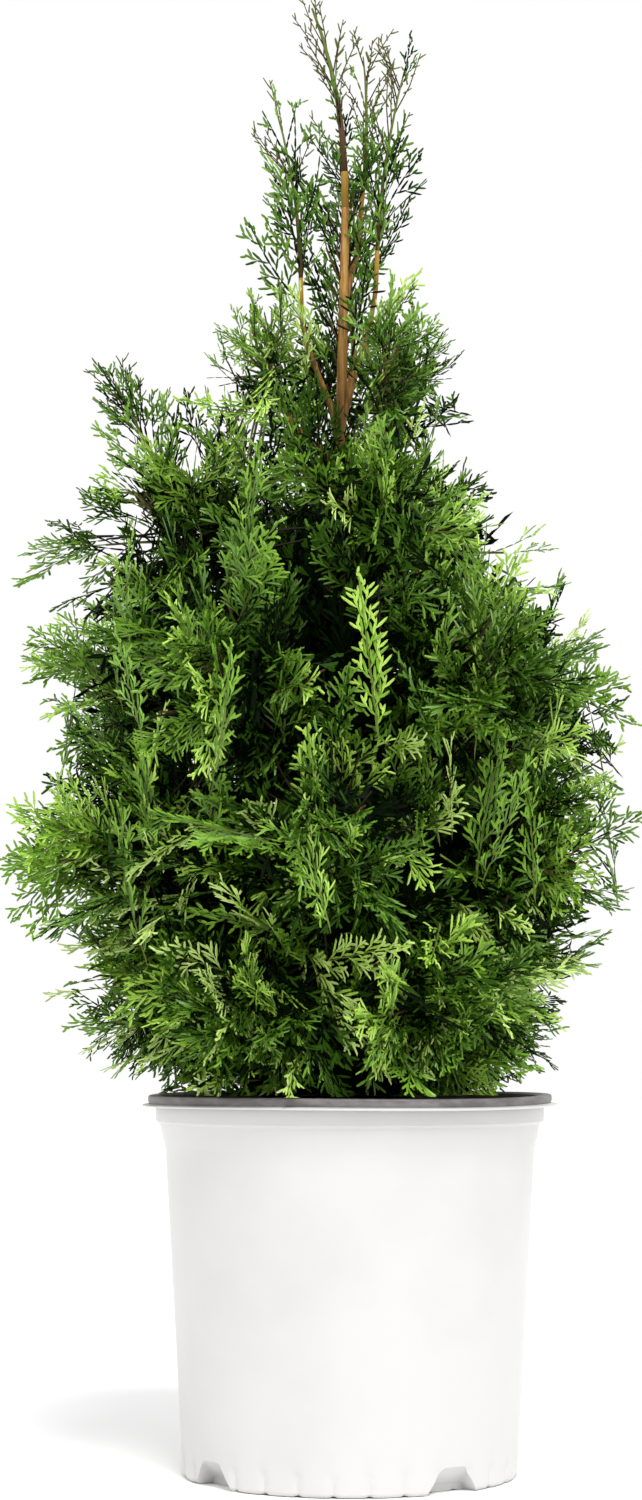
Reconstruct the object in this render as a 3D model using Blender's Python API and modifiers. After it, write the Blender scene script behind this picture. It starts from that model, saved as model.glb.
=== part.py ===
"""A young evergreen of the arborvitae kind in a white nursery pot: pot, potting mix, trunk, boughs and masses of foliage.

Metres, +Z up. The origin is the centre of the pot's flat underside, and the plant's best side faces -Y.
"""

import math
import random

import bmesh
import bpy
from mathutils import Matrix, Vector
from mathutils.bvhtree import BVHTree

# Pot: a thin moulded shell with a rolled rim over a shallow neck
POT_HEIGHT = 0.2235
FLANGE_RADIUS = 0.1220
RIM_RADIUS = 0.1184
NECK_RADIUS = 0.1140
SHOULDER_RADIUS = 0.1084
BASE_RADIUS = 0.0986
FOOT_RADIUS = 0.0965
WALL = 0.0016
FLOOR_THICKNESS = 0.0022
FLANGE_HEIGHT = 0.2170
FLANGE_THICKNESS = 0.0012
NECK_FOOT = 0.2086
SHOULDER_HEIGHT = 0.1920
RIM_ROUNDING = 0.0006
POT_STEPS = 40

# Drain channels: four arched notches in the foot, each with a chute that falls inward to a slot
CHANNEL_COUNT = 4
FIRST_CHANNEL_AZIMUTH = math.radians(-54)
CHANNEL_OUTER_END = 0.1100
CHANNEL_INNER_END = 0.0860
CHANNEL_OUTER_TOP = 0.0249
CHANNEL_INNER_TOP = 0.0040
CHANNEL_BELOW = 0.0040
CHANNEL_WIDTHS = {"outer top": 0.0040, "inner top": 0.0300, "outer foot": 0.0440, "inner foot": 0.0360}

# Potting mix
CLEARANCE = 0.0003
MIX_CENTRE_HEIGHT = 0.2110
MIX_EDGE_HEIGHT = 0.2040
MIX_CLEARANCE = 0.0005
MIX_FLAT_RADIUS = 0.0300

# Trunk, from its flat foot on the mix to the fork near the top
TRUNK_FOOT = MIX_CENTRE_HEIGHT + CLEARANCE
TRUNK_FORK = 0.7450
TRUNK_RADIUS = 0.0075
FORK_RADIUS = 0.0024
FLARE = 0.0050
FLARE_HEIGHT = 0.0120
TRUNK_BOW = -0.0050
TRUNK_LEAN = -0.0024
TRUNK_WAVE = 0.0030

# Crown outline seen from the front: height, reach to the left of the pot's centre, reach to its right
CROWN_OUTLINE = (
    (0.226, 0.124, 0.118),
    (0.262, 0.178, 0.132),
    (0.310, 0.194, 0.158),
    (0.380, 0.210, 0.176),
    (0.400, 0.206, 0.188),
    (0.460, 0.196, 0.172),
    (0.520, 0.212, 0.146),
    (0.560, 0.180, 0.106),
    (0.600, 0.134, 0.074),
    (0.640, 0.092, 0.066),
    (0.670, 0.078, 0.058),
    (0.700, 0.058, 0.046),
    (0.800, 0.050, 0.041),
    (0.868, 0.036, 0.024),
)
FOLIAGE_FLOOR = 0.2262
# The trunk shows between the sprays in front of it above this height
VIEW_FOOT = 0.610
VIEW_HALF_WIDTH = 0.010

# Tiers of foliage: name, how many masses, azimuth of the first (0 is the right, 180 the left), height of the
# masses' middles, how far out they lie as a share of the reach, how steeply their stems rise, and their fronds
TIERS = (
    ("skirt", 5, 162, 0.268, 0.54, -14, 9),
    ("low", 5, 198, 0.360, 0.55, 4, 9),
    ("middle", 5, 162, 0.454, 0.55, 20, 9),
    ("upper", 4, 195, 0.546, 0.54, 36, 9),
    ("shoulder", 4, 200, 0.634, 0.56, 60, 9),
)
# Open plumes round the fork: name, where the stem starts, where it ends, how far below the start its limb
# leaves the trunk, how many fronds it has, and how long the lowest one is
PLUMES = (
    ("wing", (-0.1020, 0.0420, 0.5780), (-0.1420, 0.0500, 0.6520), 0.050, 9, 0.056),
    ("spire_left", (-0.0285, -0.0120, 0.6800), (-0.0440, -0.0120, 0.8050), 0.058, 11, 0.046),
    ("spire_back", (0.0020, 0.0260, 0.6750), (-0.0040, 0.0330, 0.7980), 0.050, 11, 0.048),
    ("spire_right", (0.0150, -0.0090, 0.6950), (0.0330, -0.0090, 0.8300), 0.070, 11, 0.046),
    ("fork_right", (0.0060, 0.0060, 0.7400), (0.0080, 0.0060, 0.8400), 0.045, 8, 0.040),
    ("tip", (-0.0027, 0.0000, 0.7456), (-0.0230, 0.0000, 0.8675), 0.000, 10, 0.042),
)

CELL_GAP = 0.0009
CORE_SHARE = 0.97
CORE_REACH_SHARE = 0.76
CORE_SHRINK = 0.94
CORE_CLEARANCE = 0.0008
CORE_ATTEMPTS = 40
FROND_THICKNESS = 0.0014
FROND_WIDTH_SHARE = 0.54
LONGEST_FROND = 0.118
SHORTEST_FROND = 0.034
PLUME_THICKNESS = 0.0009
PLUME_STEM_RADIUS = 0.0013
STEM_RADIUS = 0.0022
BOUGH_BASE_RADIUS = 0.0032
BOUGH_TIP_RADIUS = 0.0022
BOUGH_POINTS = 6
BOUGH_COLLAR = 0.0035
GOLDEN_ANGLE = math.radians(137.5)
SEED = 21


def clear_scene():
    for obj in list(bpy.data.objects):
        bpy.data.objects.remove(obj)


def new_collection(name):
    collection = bpy.data.collections.new(name)
    bpy.context.scene.collection.children.link(collection)
    return collection


def new_material(name, colour, roughness):
    material = bpy.data.materials.new(name)
    material.use_nodes = True
    shader = material.node_tree.nodes["Principled BSDF"]
    shader.inputs["Base Color"].default_value = (*colour, 1)
    shader.inputs["Roughness"].default_value = roughness
    shader.inputs["Metallic"].default_value = 0
    return material


def add_object(name, data, collection, material=None):
    obj = bpy.data.objects.new(name, data)
    collection.objects.link(obj)
    if material:
        data.materials.append(material)
    return obj


def as_helper(obj):
    """Marks a cutter, which is not part of the plant."""
    obj.hide_render = True
    obj.display_type = "WIRE"
    return obj


def turned(name, profile, steps, collection, material=None):
    """A closed solid turned about Z from a profile of (radius, height) that starts and ends on the axis."""
    mesh = bpy.data.meshes.new(name)
    mesh.from_pydata([(r, 0, z) for r, z in profile], [(i, i + 1) for i in range(len(profile) - 1)], [])
    obj = add_object(name, mesh, collection, material)
    screw = obj.modifiers.new("Turn", "SCREW")
    screw.steps = steps
    screw.render_steps = steps
    screw.use_merge_vertices = True
    screw.merge_threshold = 0.0001
    return obj


def cut(obj, name, operand):
    """Takes an object, or every object of a collection, away from obj."""
    boolean = obj.modifiers.new(name, "BOOLEAN")
    boolean.operation = "DIFFERENCE"
    boolean.solver = "EXACT"
    if isinstance(operand, bpy.types.Collection):
        boolean.operand_type = "COLLECTION"
        boolean.collection = operand
    else:
        boolean.object = operand


def drain_channels(name, grow):
    """Four tapering blocks, one for each notch in the foot, made bigger by grow on every side."""
    collection = new_collection(name)
    for number in range(CHANNEL_COUNT):
        mesh = bpy.data.meshes.new(f"{name}_{number}")
        form = bmesh.new()
        for place, width in CHANNEL_WIDTHS.items():
            outside, above = place.startswith("outer"), place.endswith("top")
            top = CHANNEL_OUTER_TOP if outside else CHANNEL_INNER_TOP
            y = -CHANNEL_OUTER_END if outside else -CHANNEL_INNER_END + grow
            z = top + grow * 1.3 if above else -CHANNEL_BELOW
            for side in (1, -1):
                form.verts.new((side * (width / 2 + grow * 1.2), y, z))
        bmesh.ops.convex_hull(form, input=form.verts)
        form.to_mesh(mesh)
        form.free()
        block = as_helper(add_object(f"{name}_{number}", mesh, collection))
        block.rotation_euler.z = FIRST_CHANNEL_AZIMUTH + number * math.tau / CHANNEL_COUNT
    return collection


def make_pot(plant, helpers, material):
    skirt_foot = FLANGE_HEIGHT + FLANGE_THICKNESS
    groove_top = POT_HEIGHT - WALL
    outside = (
        (0, POT_HEIGHT),
        (RIM_RADIUS - RIM_ROUNDING, POT_HEIGHT),
        (RIM_RADIUS, POT_HEIGHT - RIM_ROUNDING),
        (RIM_RADIUS, skirt_foot),
        (FLANGE_RADIUS, skirt_foot),
        (FLANGE_RADIUS, FLANGE_HEIGHT),
        (RIM_RADIUS - WALL, FLANGE_HEIGHT),
        (RIM_RADIUS - WALL, groove_top),
        (NECK_RADIUS, groove_top),
        (NECK_RADIUS, NECK_FOOT),
        (NECK_RADIUS - 0.0024, NECK_FOOT - 0.0012),
        (SHOULDER_RADIUS, SHOULDER_HEIGHT),
        (BASE_RADIUS, 0.0040),
        (FOOT_RADIUS, 0),
        (0, 0),
    )
    inside = (
        (0, POT_HEIGHT + 0.010),
        (NECK_RADIUS - WALL, POT_HEIGHT + 0.010),
        (NECK_RADIUS - WALL, NECK_FOOT - 0.0005),
        (NECK_RADIUS - 0.0024 - WALL, NECK_FOOT - 0.0017),
        (SHOULDER_RADIUS - WALL, SHOULDER_HEIGHT),
        (BASE_RADIUS - WALL, 0.0046),
        (FOOT_RADIUS - WALL - 0.0006, FLOOR_THICKNESS),
        (0, FLOOR_THICKNESS),
    )
    pot = turned("pot", outside, POT_STEPS, plant, material)
    hollow = as_helper(turned("pot hollow", inside, POT_STEPS, helpers))
    cut(hollow, "Channel jackets", drain_channels("channel_jacket", WALL))
    cut(pot, "Channels", drain_channels("channel", 0))
    cut(pot, "Hollow", hollow)
    return pot


def make_mix(plant, material):
    """The potting mix fills the pot to just below the rim and stays clear of the shell."""
    inner = WALL + MIX_CLEARANCE
    profile = (
        (0, MIX_CENTRE_HEIGHT),
        (MIX_FLAT_RADIUS, MIX_CENTRE_HEIGHT),
        (0.0750, (MIX_CENTRE_HEIGHT + MIX_EDGE_HEIGHT) / 2 + 0.0015),
        (SHOULDER_RADIUS + 0.0018 - inner, MIX_EDGE_HEIGHT),
        (SHOULDER_RADIUS - inner, SHOULDER_HEIGHT),
        (BASE_RADIUS - inner, 0.0055),
        (FOOT_RADIUS - inner - 0.0010, FLOOR_THICKNESS + CLEARANCE),
        (0, FLOOR_THICKNESS + CLEARANCE),
    )
    mix = turned("potting_mix", profile, POT_STEPS // 2, plant, material)
    cut(mix, "Channel jackets", drain_channels("mix_jacket", WALL + 2 * CLEARANCE))
    return mix


def trunk_share(height):
    return min(max((height - TRUNK_FOOT) / (TRUNK_FORK - TRUNK_FOOT), 0), 1)


def trunk_centre(height):
    """The trunk bows a little to the left and leans to its fork."""
    share = trunk_share(height)
    x = TRUNK_BOW * math.sin(math.pi * share) + TRUNK_LEAN * share
    y = TRUNK_WAVE * math.sin(math.tau * share)
    return Vector((x, y, height))


def trunk_radius(height):
    share = trunk_share(height)
    taper = FORK_RADIUS + (TRUNK_RADIUS - FORK_RADIUS) * (1 - share) ** 1.2
    return taper + FLARE * math.exp(-(height - TRUNK_FOOT) / FLARE_HEIGHT)


def limb(name, points, radii, bevel_resolution, collection, material=None):
    """A tapering round limb along the points, as a curve with filled ends."""
    curve = bpy.data.curves.new(name, "CURVE")
    curve.dimensions = "3D"
    curve.bevel_depth = 1
    curve.bevel_resolution = bevel_resolution
    curve.use_fill_caps = True
    spline = curve.splines.new("POLY")
    spline.points.add(len(points) - 1)
    for spot, point, radius in zip(spline.points, points, radii):
        spot.co = (*point, 1)
        spot.radius = radius
    return add_object(name, curve, collection, material)


def make_trunk(plant, material):
    rise = TRUNK_FORK - TRUNK_FOOT
    heights = [TRUNK_FOOT, TRUNK_FOOT + 0.004, TRUNK_FOOT + 0.012, TRUNK_FOOT + 0.028]
    heights += [TRUNK_FOOT + 0.028 + (rise - 0.028) * k / 12 for k in range(1, 13)]
    points = [trunk_centre(height) for height in heights]
    for low in (0, 1):
        points[low] = Vector((0, 0, heights[low]))
    radii = [trunk_radius(height) for height in heights]
    return limb("trunk", points, radii, 3, plant, material)


def crown_reach(height, azimuth):
    """How far the crown reaches from the pot's axis at a height, towards an azimuth."""
    height = min(max(height, CROWN_OUTLINE[0][0]), CROWN_OUTLINE[-1][0])
    for (z0, left0, right0), (z1, left1, right1) in zip(CROWN_OUTLINE, CROWN_OUTLINE[1:]):
        if height <= z1:
            share = (height - z0) / (z1 - z0)
            left = left0 + (left1 - left0) * share
            right = right0 + (right1 - right0) * share
            break
    return (left + right) / 2 + (right - left) / 2 * math.cos(azimuth)


def plan_masses():
    """Where each mass of foliage lies: its middle, its stem from root to tip, and its limb."""
    masses = []
    for tier, (name, count, first, height, share, rise, fronds) in enumerate(TIERS):
        rng = random.Random(SEED + tier)
        for number in range(count):
            azimuth = math.radians(first + number * 360 / count + rng.uniform(-6, 6) * (number > 0))
            middle_height = height + rng.uniform(-0.008, 0.008)
            outward = Vector((math.cos(azimuth), math.sin(azimuth), 0))
            reach = crown_reach(middle_height, azimuth)
            centre = outward * reach * share + Vector((0, 0, middle_height))
            slope = math.radians(rise)
            heading = outward * math.cos(slope) + Vector((0, 0, math.sin(slope)))
            root = centre - heading * reach * 0.24
            masses.append(
                {
                    "name": f"{name}_{number + 1}",
                    "centre": centre,
                    "outward": outward,
                    "heading": heading,
                    "root": root,
                    "drop": 0.020,
                    "fronds": fronds,
                    "dense": True,
                    "seed": SEED + 100 * tier + number,
                }
            )
    for number, (name, root, tip, drop, fronds, longest) in enumerate(PLUMES):
        root, tip = Vector(root), Vector(tip)
        masses.append(
            {
                "name": name,
                "centre": root.lerp(tip, 0.5),
                "outward": Vector((root.x, root.y, 0)).normalized(),
                "heading": (tip - root).normalized(),
                "root": root,
                "tip": tip,
                "drop": drop,
                "fronds": fronds,
                "longest": longest,
                "dense": False,
                "seed": SEED + 1000 + number,
            }
        )
    return masses


def bough_course(mass):
    """Points and radii of the limb that carries a mass: out of the trunk, then up to the mass's stem."""
    end = mass["root"] - mass["heading"] * CLEARANCE
    leaving = max(end.z - mass["drop"], TRUNK_FOOT + 0.012)
    base = trunk_centre(leaving)
    outward = Vector((end.x - base.x, end.y - base.y, 0)).normalized()
    start = base + outward * (trunk_radius(leaving) + 2 * CLEARANCE)
    collar = start + outward * BOUGH_COLLAR
    socket = end - mass["heading"] * BOUGH_COLLAR
    span = (socket - collar).length
    handles = (collar, collar + outward * span * 0.35, socket - mass["heading"] * span * 0.40, socket)
    points = [start]
    for k in range(BOUGH_POINTS - 2):
        t = k / (BOUGH_POINTS - 3)
        weights = ((1 - t) ** 3, 3 * t * (1 - t) ** 2, 3 * t * t * (1 - t), t**3)
        points.append(sum((h * w for h, w in zip(handles, weights)), Vector()))
    points.append(end)
    slim = 1 if mass["dense"] else 0.62
    tip_radius, base_radius = BOUGH_TIP_RADIUS * slim, BOUGH_BASE_RADIUS * slim
    steps = BOUGH_POINTS - 1
    radii = [base_radius + (tip_radius - base_radius) * k / steps for k in range(BOUGH_POINTS)]
    return points, radii


def limb_spots(masses):
    """Points every few millimetres along the trunk and boughs, with their radii, for keeping leaves off them."""
    spots = []
    for step in range(180):
        height = TRUNK_FOOT + (TRUNK_FORK - TRUNK_FOOT) * step / 179
        spots.append((trunk_centre(height), trunk_radius(height)))
    for mass in masses:
        if mass["drop"] == 0:
            continue
        points, radii = bough_course(mass)
        for (a, ra), (b, rb) in zip(zip(points, radii), zip(points[1:], radii[1:])):
            for k in range(6):
                spots.append((a.lerp(b, k / 6), ra + (rb - ra) * k / 6))
        spots.append((points[-1], radii[-1]))
    return spots


def in_cell(mass, masses, point, margin):
    """True where a point is nearer this mass's middle than any other's, and in front of its limb."""
    own = (point - mass["centre"]).length_squared
    for other in masses:
        if other is mass:
            continue
        apart = (other["centre"] - mass["centre"]).length
        if ((point - other["centre"]).length_squared - own) / (2 * apart) < margin:
            return False
    if point.z < FOLIAGE_FLOOR:
        return False
    if (point - mass["root"]).dot(mass["heading"]) < margin:
        return False
    trunk = trunk_centre(point.z)
    if point.z > VIEW_FOOT and point.y < 0 and abs(point.x - trunk.x) < VIEW_HALF_WIDTH and mass["drop"]:
        return False
    return point.z > TRUNK_FORK or (point - trunk).dot(mass["outward"]) > trunk_radius(point.z) + 4 * margin


def in_crown(point, share=1):
    azimuth = math.atan2(point.y, point.x)
    return math.hypot(point.x, point.y) < crown_reach(point.z, azimuth) * share and point.z < CROWN_OUTLINE[-1][0]


def clear_run(mass, masses, start, direction, share=1):
    """How far a straight line can run from start inside the mass's own space."""
    run = 0.0
    while run < 0.20:
        point = start + direction * (run + 0.002)
        if not in_cell(mass, masses, point, CELL_GAP) or mass["dense"] and not in_crown(point, share):
            break
        run += 0.002
    return run


def frond_outline():
    """Half the outline of a toothed frond of length 1 and width 1: how far along, and how far from the midrib."""
    return ((0.0, 0.04), (0.40, 0.50), (0.46, 0.20), (0.76, 0.36))


def frond_mesh():
    """A flat toothed frond of unit length, width and thickness, along +X in the XY plane."""
    half = frond_outline()
    points = [(u, v) for u, v in half] + [(1.0, 0.0)] + [(u, -v) for u, v in reversed(half)]
    curve = bpy.data.curves.new("frond", "CURVE")
    curve.dimensions = "2D"
    curve.fill_mode = "BOTH"
    curve.extrude = 0.5
    spline = curve.splines.new("POLY")
    spline.points.add(len(points) - 1)
    for spot, (u, v) in zip(spline.points, points):
        spot.co = (u, v, 0, 1)
    spline.use_cyclic_u = True
    return curve_as_mesh(curve)


def curve_as_mesh(curve):
    """The closed mesh of a curve, with its caps welded on."""
    holder = bpy.data.objects.new("holder", curve)
    bpy.context.scene.collection.objects.link(holder)
    bpy.context.view_layer.update()
    graph = bpy.context.evaluated_depsgraph_get()
    mesh = bpy.data.meshes.new_from_object(holder.evaluated_get(graph))
    form = bmesh.new()
    form.from_mesh(mesh)
    bmesh.ops.remove_doubles(form, verts=form.verts, dist=0.00001)
    bmesh.ops.recalc_face_normals(form, faces=form.faces)
    form.to_mesh(mesh)
    form.free()
    bpy.data.objects.remove(holder)
    return mesh


def placement(root, direction, across, length, width, thickness):
    """The matrix that lays a unit blade from root along direction, as wide as width along across."""
    along = direction.normalized()
    side = (across - along * across.dot(along)).normalized()
    normal = along.cross(side)
    matrix = Matrix((along * length, side * width, normal * thickness)).transposed().to_4x4()
    matrix.translation = root
    return matrix


def blade_fits(mass, masses, spots, matrix, length, width, thickness):
    """True where a blade stays in its mass's own space and touches no limb."""
    for u, v in frond_outline() + ((1.0, 0.0),):
        for side in (1, -1):
            if u > 0.1 and not in_cell(mass, masses, matrix @ Vector((u, v * side, 0)), CELL_GAP):
                return False
    back = matrix.inverted()
    for point, radius in spots:
        local = back @ point
        room = radius + thickness
        beside = abs(local.y) * width < width / 2 + room
        if -room < local.x * length < length + room and beside and abs(local.z) * thickness < room:
            return False
    return True


def plan_fronds(mass, masses, spots):
    """Fronds that leave a mass's stem in a spiral, wide of it near the root and close to it near the tip."""
    rng = random.Random(mass["seed"])
    heading, root = mass["heading"], mass["root"]
    stem_run = clear_run(mass, masses, root + heading * 0.002, heading)
    fronds = []
    side = heading.cross(Vector((0, 0, 1))).normalized()
    over = side.cross(heading)
    turn = rng.uniform(0, math.tau)
    for number in range(mass["fronds"]):
        share = number / (mass["fronds"] - 1)
        root_share = 0.20 + 0.36 * share
        start = root + heading * stem_run * root_share
        spread = math.radians(74 - 74 * share**0.8)
        turn += GOLDEN_ANGLE
        for attempt in range(10):
            swing = turn + attempt * 0.35 * (-1) ** attempt
            leaning = side * math.cos(swing) + over * math.sin(swing)
            direction = (heading * math.cos(spread) + leaning * math.sin(spread)).normalized()
            run = clear_run(mass, masses, start, direction, rng.uniform(0.96, 1.0) if share < 1 else 1)
            length = min(run, stem_run) if share == 1 else min(run, LONGEST_FROND)
            if length < SHORTEST_FROND:
                continue
            roll = rng.uniform(0, math.pi)
            across = direction.orthogonal().normalized()
            across.rotate(Matrix.Rotation(roll, 3, direction))
            width = max(min(length, LONGEST_FROND) * FROND_WIDTH_SHARE * (1 - attempt * 0.05), 0.018)
            matrix = placement(start, direction, across, length, width, FROND_THICKNESS)
            if blade_fits(mass, masses, spots, matrix, length, width, FROND_THICKNESS):
                fronds.append(matrix)
                break
    return fronds, stem_run


def make_core(mass, masses, spots, stem_run, collection):
    """The dense heart of a mass: a faceted ball drawn out to near the walls of the mass's own space."""
    mesh = bpy.data.meshes.new("core")
    middle = mass["root"] + mass["heading"] * stem_run * 0.44
    form = bmesh.new()
    bmesh.ops.create_uvsphere(form, u_segments=6, v_segments=5, radius=1)
    for vertex in form.verts:
        direction = vertex.co.normalized()
        vertex.co = middle + direction * clear_run(mass, masses, middle, direction, CORE_REACH_SHARE) * CORE_SHARE
    near = [(p, r) for p, r in spots if (p - middle).length < 0.16]
    for attempt in range(CORE_ATTEMPTS):
        tree = BVHTree.FromBMesh(form)
        if all(outside_by(tree, point) > radius + CORE_CLEARANCE for point, radius in near):
            break
        for vertex in form.verts:
            vertex.co = middle.lerp(vertex.co, CORE_SHRINK)
    form.to_mesh(mesh)
    form.free()
    return add_object("core", mesh, collection)


def outside_by(tree, point):
    """How far a point lies outside a closed shell; negative inside it."""
    spot, normal, face, distance = tree.find_nearest(point)
    return distance if (point - spot).dot(normal) > 0 else -distance


def keep_main_shell(mesh):
    """Leaves the largest shell of a fused mesh: drops loose scraps and fills sealed hollows."""
    form = bmesh.new()
    form.from_mesh(mesh)
    shells, seen = [], set()
    for seed in form.verts:
        if seed in seen:
            continue
        shell, waiting = [], [seed]
        seen.add(seed)
        while waiting:
            vertex = waiting.pop()
            shell.append(vertex)
            for edge in vertex.link_edges:
                other = edge.other_vert(vertex)
                if other not in seen:
                    seen.add(other)
                    waiting.append(other)
        shells.append(shell)
    main = max(shells, key=len)
    spare = [vertex for shell in shells if shell is not main for vertex in shell]
    bmesh.ops.delete(form, geom=spare, context="VERTS")
    form.to_mesh(mesh)
    form.free()


def join_by_union(name, target, pieces, plant, material):
    """Fuses the pieces of a collection onto the target and leaves one plain mesh object."""
    union = target.modifiers.new("Union", "BOOLEAN")
    union.operation = "UNION"
    union.operand_type = "COLLECTION"
    union.collection = pieces
    union.solver = "MANIFOLD"
    bpy.context.view_layer.update()
    graph = bpy.context.evaluated_depsgraph_get()
    mesh = bpy.data.meshes.new_from_object(target.evaluated_get(graph))
    mesh.name = name
    mesh.materials.clear()
    keep_main_shell(mesh)
    for obj in [*pieces.objects, target]:
        bpy.data.objects.remove(obj)
    bpy.data.collections.remove(pieces)
    return add_object(name, mesh, plant, material)


def thin_limb(name, points, radii, collection):
    """A three-sided twig or stem, closed, as a mesh that can be fused."""
    mesh = bpy.data.meshes.new(name)
    form = bmesh.new()
    rings = []
    for number, (point, radius) in enumerate(zip(points, radii)):
        ahead = points[min(number + 1, len(points) - 1)] - points[max(number - 1, 0)]
        across = ahead.orthogonal().normalized()
        if rings:
            across = (last_across - ahead * last_across.dot(ahead) / ahead.length_squared).normalized()
        last_across = across
        ring = []
        for corner in range(3):
            arm = across.copy()
            arm.rotate(Matrix.Rotation(corner * math.tau / 3, 3, ahead.normalized()))
            ring.append(form.verts.new(point + arm * radius))
        rings.append(ring)
    for low, high in zip(rings, rings[1:]):
        for a in range(3):
            b = (a + 1) % 3
            form.faces.new((low[a], low[b], high[b], high[a]))
    form.faces.new(rings[0][::-1])
    form.faces.new(rings[-1])
    form.normal_update()
    bmesh.ops.recalc_face_normals(form, faces=form.faces)
    form.to_mesh(mesh)
    form.free()
    return add_object(name, mesh, collection)


def make_dense_mass(mass, masses, spots, frond, plant, material):
    fronds, stem_run = plan_fronds(mass, masses, spots)
    holder = new_collection("core holder")
    core = make_core(mass, masses, spots, stem_run, holder)
    pieces = new_collection(mass["name"])
    root, heading = mass["root"], mass["heading"]
    thin_limb("stem", (root, root + heading * stem_run * 0.5), (STEM_RADIUS, STEM_RADIUS * 0.6), pieces)
    for number, matrix in enumerate(fronds):
        blade = add_object(f"frond_{number}", frond, pieces)
        blade.matrix_world = matrix
    made = join_by_union("foliage_" + mass["name"], core, pieces, plant, material)
    bpy.data.collections.remove(holder)
    return made


def plan_plume(mass, masses, spots):
    """An open plume: fronds leave the bowed stem on alternate sides, shorter and steeper towards its tip."""
    rng = random.Random(mass["seed"])
    root, tip, heading = mass["root"], mass["tip"], mass["heading"]
    side = heading.cross(Vector((0, 1, 0))).normalized()
    over = side.cross(heading)
    bow = side * (tip - root).length * rng.uniform(-0.05, 0.05)
    stem = [root.lerp(tip, k / 6) + bow * math.sin(math.pi * k / 6) for k in range(6)]
    fronds = []
    for number in range(mass["fronds"]):
        share = number / (mass["fronds"] - 1)
        place = (0.06 + 0.80 * share) * 5
        start = stem[int(place)].lerp(stem[min(int(place) + 1, 5)], place % 1)
        for attempt in range(8):
            turn = number * math.pi + rng.uniform(-1.0, 1.0) * (1 + attempt * 0.3)
            leaning = side * math.cos(turn) + over * math.sin(turn)
            direction = (heading + leaning * (0.70 - 0.40 * share)).normalized()
            wanted = mass["longest"] * (1 - 0.35 * share) * rng.uniform(0.85, 1.1)
            if share == 1:
                direction, wanted = heading, (tip - start).length
            length = min(clear_run(mass, masses, start, direction), wanted)
            if length < 0.014:
                continue
            across = leaning if rng.random() < 0.7 else direction.cross(leaning)
            width = min(length * FROND_WIDTH_SHARE, 0.026)
            matrix = placement(start, direction, across, length, width, PLUME_THICKNESS)
            if blade_fits(mass, masses, spots, matrix, length, width, PLUME_THICKNESS):
                fronds.append(matrix)
                break
    return stem, fronds


def make_plume(mass, masses, spots, frond, plant, material):
    stem, fronds = plan_plume(mass, masses, spots)
    holder = new_collection("stem holder")
    radii = [PLUME_STEM_RADIUS * (1 - 0.12 * k) for k in range(6)]
    target = thin_limb("stem", stem, radii, holder)
    pieces = new_collection(mass["name"])
    for number, matrix in enumerate(fronds):
        blade = add_object(f"frond_{number}", frond, pieces)
        blade.matrix_world = matrix
    made = join_by_union("foliage_" + mass["name"], target, pieces, plant, material)
    bpy.data.collections.remove(holder)
    return made


def main():
    clear_scene()
    plant = new_collection("potted arborvitae")
    helpers = new_collection("helpers")
    white = new_material("white plastic", (0.82, 0.81, 0.80), 0.42)
    earth = new_material("potting mix", (0.030, 0.020, 0.014), 0.95)
    bark = new_material("bark", (0.30, 0.15, 0.06), 0.85)
    green = new_material("foliage", (0.06, 0.16, 0.02), 0.55)

    make_pot(plant, helpers, white)
    make_mix(plant, earth)
    make_trunk(plant, bark)
    masses = plan_masses()
    spots = limb_spots(masses)
    frond = frond_mesh()
    for mass in masses:
        if mass["drop"]:
            points, radii = bough_course(mass)
            limb("bough_" + mass["name"], points, radii, 1, plant, bark)
        if mass["dense"]:
            make_dense_mass(mass, masses, spots, frond, plant, green)
        else:
            make_plume(mass, masses, spots, frond, plant, green)


main()
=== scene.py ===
# A young green giant arborvitae in a white nursery pot: finishes, bark, twigs and sprays
import math
import random

import bmesh
import bpy
import numpy as np
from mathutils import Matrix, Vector, noise


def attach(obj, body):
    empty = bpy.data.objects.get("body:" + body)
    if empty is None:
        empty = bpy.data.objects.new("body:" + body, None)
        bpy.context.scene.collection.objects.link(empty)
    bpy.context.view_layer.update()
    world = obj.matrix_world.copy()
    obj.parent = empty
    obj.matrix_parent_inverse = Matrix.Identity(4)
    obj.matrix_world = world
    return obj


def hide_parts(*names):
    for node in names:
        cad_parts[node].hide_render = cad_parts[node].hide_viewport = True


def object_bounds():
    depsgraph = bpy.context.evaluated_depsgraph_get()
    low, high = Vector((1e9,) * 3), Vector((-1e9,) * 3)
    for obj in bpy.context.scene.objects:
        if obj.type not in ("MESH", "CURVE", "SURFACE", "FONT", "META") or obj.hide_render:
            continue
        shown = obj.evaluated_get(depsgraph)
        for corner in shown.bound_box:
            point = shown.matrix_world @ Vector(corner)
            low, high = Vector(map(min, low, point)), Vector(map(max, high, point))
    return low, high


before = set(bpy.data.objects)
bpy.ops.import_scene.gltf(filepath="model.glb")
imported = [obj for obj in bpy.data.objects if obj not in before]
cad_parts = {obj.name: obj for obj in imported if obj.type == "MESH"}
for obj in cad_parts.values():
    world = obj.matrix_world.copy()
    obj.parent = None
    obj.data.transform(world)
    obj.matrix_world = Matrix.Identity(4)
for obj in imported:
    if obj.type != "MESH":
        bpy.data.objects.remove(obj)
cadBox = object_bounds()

scene = bpy.context.scene
scene.view_settings.view_transform = "Standard"
mm = 0.001


# Camera: level, a little above the rim, with the frame shifted up over the crown
cameraView = {
    "eye": (-0.017, -1.85, 0.270),
    "lens": 75.39,
    "shift": 0.1766,
}

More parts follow.
